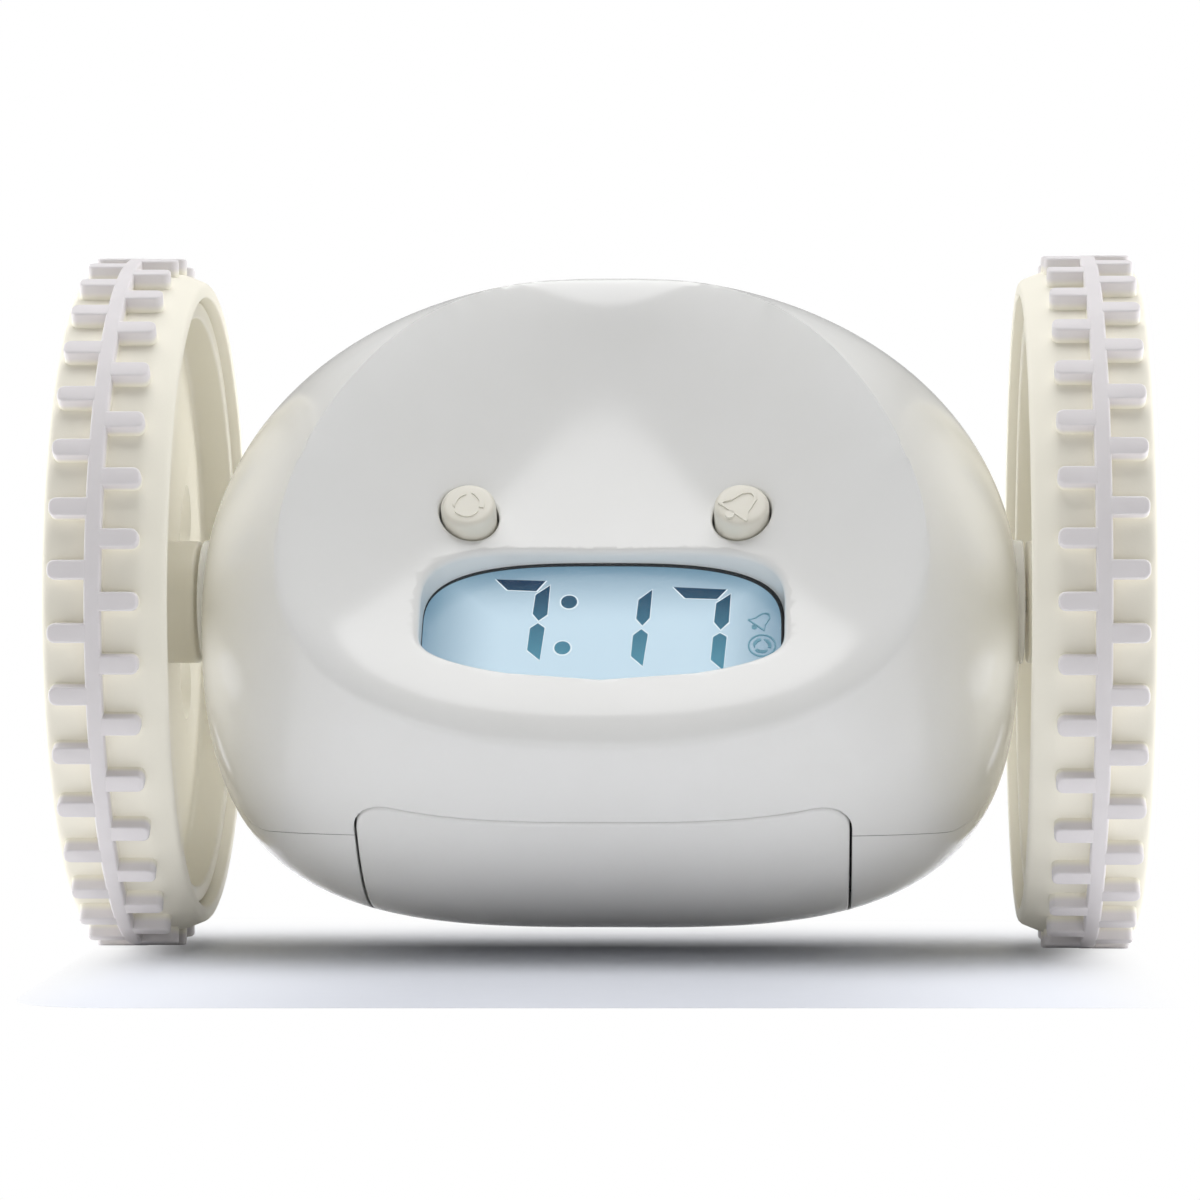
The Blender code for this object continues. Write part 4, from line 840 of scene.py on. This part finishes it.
TYRE_INNER = 52.3
TYRE_OUTER = 67.6
TREAD_SPARE = 0.6            # the tread runs on past its outer lugs
TREAD_RADIUS = 42.415
TYRE_TOP = 44.5
TYRE_BORE = 39.415
TYRE_SHOULDER = 1.2
RIB_START = 59.8
RIB_END = 61.8
LUG_COUNT = 36
LUG_LENGTH = 4.5
LUG_WIDTH = 2.35
LUG_CORNER = 0.9
LUG_EDGE = 0.3
LUG_OVERLAP = 0.4            # how far a lug runs into the rib
RIM_RADIUS = 38.965
WELL_RADIUS = 36.765
RIM_INNER = 53.6
RIM_OUTER = 65.6
WEB_INNER = 58.0
WEB_OUTER = 60.4
COLLAR_RADIUS = 7.9
COLLAR_END = 53.4
HUB_RADIUS = 7.0
HUB_END = 63.0
AXLE_RADIUS = 1.5
PETAL_COUNT = 6
PETAL_START = 15.5
PETAL_END = 27.0
PETAL_WIDTH = 9.5
CAP_BASE = 63.3
CAP_HEIGHT = 2.8


def petal_outline(angle, count=32):
    """Opening that is narrow towards the axle and full towards the rim."""
    middle, half = (PETAL_START + PETAL_END) / 2, (PETAL_END - PETAL_START) / 2
    outline = []
    for step in range(count):
        swing = 2 * math.pi * step / count
        along = middle + half * math.cos(swing)
        across = PETAL_WIDTH / 2 * math.sin(swing) * (1 + 0.3 * (math.cos(swing) - 0.5))
        outline.append((along * math.cos(angle) - across * math.sin(angle),
                        along * math.sin(angle) + across * math.cos(angle)))
    return outline


def bevelled(piece, width, segments, limit=40):
    """Round off every edge sharper than a limit, in millimetres and degrees."""
    only(piece)
    modifier = piece.modifiers.new("edges", "BEVEL")
    modifier.width = width / 1000
    modifier.segments = segments
    modifier.limit_method = "ANGLE"
    modifier.angle_limit = math.radians(limit)
    modifier.harden_normals = False
    bpy.ops.object.modifier_apply(modifier="edges")
    return piece


def lug(start, end, half_turn, sign):
    """One lug, its top flush with the rib, then 36 of them round the tread."""
    bpy.ops.object.select_all(action="DESELECT")
    low = TREAD_RADIUS - 1.4
    bpy.ops.mesh.primitive_cube_add(size=1, location=((low + TYRE_TOP) / 2, 0, (start + end) / 2),
                                    scale=(TYRE_TOP - low, LUG_WIDTH, end - start))
    bpy.ops.object.transform_apply()
    piece = bpy.context.active_object
    free = end if end > RIB_END else start
    bpy.ops.object.mode_set(mode="EDIT")
    shape = bmesh.from_edit_mesh(piece.data)
    for edge in shape.edges:
        spots = [vert.co for vert in edge.verts]
        upright = abs(spots[0].x - spots[1].x) > 1
        edge.select_set(upright and abs(spots[0].z - free) < 0.01)
    bpy.ops.mesh.bevel(offset=LUG_CORNER, segments=4, affect="EDGES")
    shape = bmesh.from_edit_mesh(piece.data)
    bpy.ops.mesh.select_all(action="DESELECT")
    for face in shape.faces:
        face.select_set(face.calc_center_median().x > TYRE_TOP - 0.01)
    bpy.ops.mesh.bevel(offset=LUG_EDGE, segments=3, affect="EDGES")
    bpy.ops.object.mode_set(mode="OBJECT")
    bpy.ops.object.empty_add()
    step = bpy.context.active_object
    step.rotation_euler = (0, 0, 2 * math.pi / LUG_COUNT)
    only(piece)
    modifier = piece.modifiers.new("row", "ARRAY")
    modifier.count = LUG_COUNT
    modifier.use_relative_offset = False
    modifier.use_object_offset = True
    modifier.offset_object = step
    bpy.ops.object.modifier_apply(modifier="row")
    bpy.data.objects.remove(step)
    first = -math.pi / 2 + half_turn * math.pi / LUG_COUNT
    piece.data.transform(outward(sign) @ Matrix.Rotation(first, 4, "Z"))
    return piece


# Cream ABS without much pigment. Its walls are thin, and some of the light that falls on one side of them
# comes out of the other, so the discs glow where a lamp stands behind them.
wheel_abs = moulded_plastic("moulded_cream_wheel_abs", "F1EEE3", "ECE9DC", 0.5, 0.003, 0.3)
glow = add_node(wheel_abs, "ShaderNodeBsdfTranslucent", {}, {"Color": linear("FAF7EE")})
show_both(wheel_abs, 0.3, (wheel_abs.node_tree.nodes["Principled BSDF"], "BSDF"), (glow, "BSDF"))

# Soft pale rubber with a dull skin: it takes up dust, greyer where it meets the floor, and has a fine
# grain about 0.3 mm across from the blasted tool.
tyre_rubber = moulded_plastic("pale_moulded_rubber", "E9E5E7", "DFDBDD", 0.3, 0.02, 0.62, 5.0)

# Between the lugs the rubber has kept its first creamy colour, because nothing rubs there.
shader = tyre_rubber.node_tree.nodes["Principled BSDF"]
rubbed = shader.inputs["Base Color"].links[0].from_node
where = add_node(tyre_rubber, "ShaderNodeTexCoord", {}, {})
from_axle = add_node(tyre_rubber, "ShaderNodeVectorMath", {"operation": "SUBTRACT"},
                     {0: (where, "Object"), 1: place(0, 0, 0)})
spoke = add_node(tyre_rubber, "ShaderNodeVectorMath", {"operation": "MULTIPLY"},
                 {0: (from_axle, "Vector"), 1: Vector((0, 1, 1))})
reach = add_node(tyre_rubber, "ShaderNodeVectorMath", {"operation": "LENGTH"}, {0: (spoke, "Vector")})
raised = ramp(tyre_rubber, (reach, "Value"), (TREAD_RADIUS + 0.1) / 1000, (TREAD_RADIUS + 1.2) / 1000)
feed(tyre_rubber, shader, {"Base Color": mix_colours(tyre_rubber, raised, "F4F0E2", (rubbed, 2))})

for sign, hand in ((-1, "left"), (1, "right")):
    bore = AXLE_RADIUS + GAP
    section = [(bore, COLLAR_END, 0), (COLLAR_RADIUS, COLLAR_END, 0.5), (COLLAR_RADIUS, WEB_INNER, 0.6),
               (WELL_RADIUS, WEB_INNER, 0.8), (WELL_RADIUS, RIM_INNER, 0.4), (RIM_RADIUS, RIM_INNER, 0.4),
               (RIM_RADIUS, RIM_OUTER, 0.4), (WELL_RADIUS, RIM_OUTER, 0.4), (WELL_RADIUS, WEB_OUTER, 0.8),
               (HUB_RADIUS, WEB_OUTER, 0.6), (HUB_RADIUS, HUB_END, 0.4), (bore, HUB_END, 0)]
    disc = turned(softened(section), outward(sign), 96)
    petals = [slab(petal_outline(math.pi / 2 + 2 * math.pi * number / PETAL_COUNT), 40, FAR, outward(sign))
              for number in range(PETAL_COUNT)]
    carve(disc, "DIFFERENCE", *petals)
    bevelled(disc, 0.4, 3, 60)
    finished(disc, f"wheel_disc_{hand}", wheel_abs, f"wheel_{hand}", "ivory_abs", f"wheel_hub_{hand}")

    shoulder = TREAD_RADIUS - TYRE_SHOULDER
    inner_end, outer_end = RIB_START - LUG_LENGTH, RIB_END + LUG_LENGTH
    section = [(TYRE_BORE, TYRE_INNER, 0.3), (shoulder, TYRE_INNER, 0.7), (TREAD_RADIUS, inner_end, 0.8),
               (TREAD_RADIUS, RIB_START, 0.25), (TYRE_TOP, RIB_START, 0.35), (TYRE_TOP, RIB_END, 0.35),
               (TREAD_RADIUS, RIB_END, 0.25), (TREAD_RADIUS, outer_end + TREAD_SPARE, 0.8),
               (shoulder, TYRE_OUTER, 0.7), (TYRE_BORE, TYRE_OUTER, 0.3)]
    tread = turned(softened(section), outward(sign), 144)
    rows = [lug(inner_end, RIB_START + LUG_OVERLAP, 0, sign), lug(RIB_END - LUG_OVERLAP, outer_end, 1, sign)]
    tyre = joined([tread] + rows)
    finished(tyre, f"tread_{hand}", tyre_rubber, f"wheel_{hand}", "tyre_rubber", f"tyre_{hand}")

    dome = [(HUB_RADIUS * math.sin(math.radians(turn)), CAP_BASE + CAP_HEIGHT * math.cos(math.radians(turn)))
            for turn in range(0, 91, 9)]
    plug = turned(dome + [(HUB_RADIUS - 0.2, CAP_BASE), (0, CAP_BASE)], outward(sign))
    finished(plug, f"axle_cap_{hand}", wheel_abs, f"wheel_{hand}", "ivory_abs", f"hub_cap_{hand}")


# Setting keys. Four small cream caps on the upper back, each with a round edge, press on the key board.

KEY_PROUD = 0.9
KEY_HEIGHT = 3.3             # down to the flange that holds the key in
KEY_FLANGE_RADIUS = 3.2
KEY_FLANGE_THICKNESS = 0.8
KEY_STEM_RADIUS = 1.3

for number, side in enumerate(KEY_SIDES, 1):
    node = f"setting_key_{number}"
    top = float(surface_over(on_keys, [(side, 0)])[0]) + KEY_PROUD
    collar, foot = top - KEY_HEIGHT, top - KEY_HEIGHT - KEY_FLANGE_THICKNESS
    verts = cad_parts[node].data.vertices
    stem_end = min((on_keys.inverted() @ vert.co).z for vert in verts)
    section = [(0, top, 0), (KEY_RADIUS * 0.6, top, 0.4), (KEY_RADIUS, top - 0.06, 0.5),
               (KEY_RADIUS, collar, 0.1), (KEY_FLANGE_RADIUS, collar, 0.1), (KEY_FLANGE_RADIUS, foot, 0.1),
               (KEY_STEM_RADIUS, foot, 0.1), (KEY_STEM_RADIUS, stem_end, 0.2), (0, stem_end, 0)]
    cap = turned(softened(section), on_keys @ Matrix.Translation((side, 0, 0)), 40)
    finished(cap, f"key_cap_{number}", cream_abs, node, "cream_abs", node)


# Case screws. Plated steel, pan headed with a cross recess, sunk in the rear shell's posts.

SCREW_HEAD_HEIGHT = 2.0
SCREW_RADIUS = 1.1
SCREW_REACH = 9.0
CROSS_ARM = [(-1.5, -0.28), (1.5, -0.28), (1.5, 0.28), (-1.5, 0.28)]
CROSS_DEPTH = 1.0

for number, (side, up) in enumerate(SCREW_SPOTS, 1):
    seat = POST_FLOOR - seam_forward(up) + GAP
    top = seat + SCREW_HEAD_HEIGHT
    tip = seat - GAP - POST_FLOOR - SCREW_REACH
    section = [(0, top, 0), (1.2, top - 0.1, 0.4), (SCREW_HEAD_RADIUS, top - 0.7, 0.6),
               (SCREW_HEAD_RADIUS, seat, 0.1), (SCREW_RADIUS, seat, 0.1), (SCREW_RADIUS, tip + 0.8, 0.1),
               (0, tip, 0)]
    stand = on_back @ Matrix.Translation((side, -up, 0))
    screw = turned(softened(section), stand, 40)
    cross = [slab(CROSS_ARM, top - CROSS_DEPTH, top + 1, stand @ Matrix.Rotation(turn, 4, "Z"))
             for turn in (0.4, 0.4 + math.pi / 2)]
    carve(screw, "DIFFERENCE", *cross)
    finished(screw, f"cross_screw_{number}", plated_steel, "clock_body", "steel", f"case_screw_{number}")


# Table top, backdrop and lamps. A pale card under the clock that runs off into white behind it, a bright
# ceiling, pale walls, a weak lamp in front and a tall soft panel beside the clock at each end.

CARD_WIDTH = 136.5
CARD_FRONT = 93.5
CARD_DEPTH = 240.0
CARD_CORNER = 13.0
CARD_THICKNESS = 0.02
CARD_SHIFT = 0.0017          # metres to the right, square to the camera
VIEW_TURN = math.radians(2.5)

square_on = (Matrix.Rotation(VIEW_TURN, 4, "Z") @ Matrix.Translation((CARD_SHIFT, 0, 0))
             @ Matrix.Scale(0.001, 4))
card = [(-CARD_WIDTH / 2, CARD_DEPTH - CARD_FRONT, 0), (-CARD_WIDTH / 2, -CARD_FRONT, CARD_CORNER),
        (CARD_WIDTH / 2, -CARD_FRONT, CARD_CORNER), (CARD_WIDTH / 2, CARD_DEPTH - CARD_FRONT, 0)]
table = slab(softened(card, 12), -CARD_THICKNESS, 0, square_on)
table.name = "table_top"
paper, shader = blank_material("pale_card")
parts = axes(paper)
beside = maths(paper, "ABSOLUTE", (parts, "X"))
# Painted shade and light on the card: darker in the middle, under the clock, and lighter towards its left and
# right ends. Only the camera sees it; light that bounces off the card sees an even pale F6F7FB.
plain = mix_colours(paper, pattern(paper, "Noise", 300.0), "C6C9D1", "C9CCD4")
painted_shade_and_light = mix_colours(paper, ramp(paper, beside, 0.015, 0.06), plain, "E6E9F1")
path = add_node(paper, "ShaderNodeLightPath", {}, {})
feed(paper, shader, {"Base Color": mix_colours(paper, (path, "Is Camera Ray"), "F6F7FB", painted_shade_and_light),
                     "Roughness": 0.7, "Specular IOR Level": 0.2})
faded = maths(paper, "MAXIMUM", ramp(paper, (parts, "Y"), -0.005, 0.05), ramp(paper, beside, 0.052, 0.068))
seen = maths(paper, "MAXIMUM", (path, "Is Camera Ray"), (path, "Is Transmission Ray"))
white = add_node(paper, "ShaderNodeEmission", {}, {"Strength": 1.0})
show_both(paper, maths(paper, "MULTIPLY", seen, faded), (shader, "BSDF"), (white, "Emission"))
table.data.materials.append(paper)

room = bpy.data.worlds.new("soft_room")
bpy.context.scene.world = room
room.use_nodes = True
parts = axes(room, "Generated")
ceiling = ramp(room, (parts, "Z"), 0.87, 0.89, 0.0, 3.0)
ground = ramp(room, (parts, "Z"), -0.08, 0.0, 0.8, 0.0, "LINEAR")
walls = maths(room, "MULTIPLY_ADD", maths(room, "ABSOLUTE", (parts, "X")), 0.32, ground)
backdrop = ramp(room, (parts, "Y"), 0.0, 1.0, 0.0, 0.3, "LINEAR")
together = maths(room, "ADD", maths(room, "ADD", walls, backdrop), ceiling)
path = add_node(room, "ShaderNodeLightPath", {}, {})
seen = maths(room, "MAXIMUM", (path, "Is Camera Ray"), (path, "Is Transmission Ray"))
level = add_node(room, "ShaderNodeMix", {"data_type": "FLOAT"}, {"Factor": seen, "A": together, "B": 1.0})
feed(room, room.node_tree.nodes["Background"], {"Color": [1, 1, 1, 1], "Strength": (level, "Result")})


def lamp(name, spot, goal, size, power):
    bpy.ops.object.light_add(type="AREA", location=spot)
    light = bpy.context.active_object
    light.name = name
    light.data.shape = "RECTANGLE"
    light.data.size, light.data.size_y = size
    light.data.energy = power
    light.rotation_euler = (Vector(goal) - Vector(spot)).to_track_quat("-Z", "Y").to_euler()
    return light


lamp("front_softbox", (0.0, -1.0, 0.05), (0, 0, 0.04), (0.8, 0.5), 1.2)
for side, name in ((-1.0, "left_softbox"), (1.0, "right_softbox")):
    panel = lamp(name, (side, 0.3, 0.1), (0, 0, 0.04), (0.8, 1.6), 13.0)
    panel.visible_glossy = False


# Camera, level with the axle in front of the clock and turned a little to the left.

bpy.ops.object.camera_add(location=(0.02617, -0.59943, 0.0435), rotation=(math.pi / 2, 0, VIEW_TURN))
camera = bpy.context.active_object
camera.data.lens = 139.14
camera.data.sensor_width = 36
camera.data.shift_x = -0.01
camera.data.shift_y = 0.0081
bpy.context.scene.camera = camera
bpy.context.scene.view_settings.view_transform = "Standard"
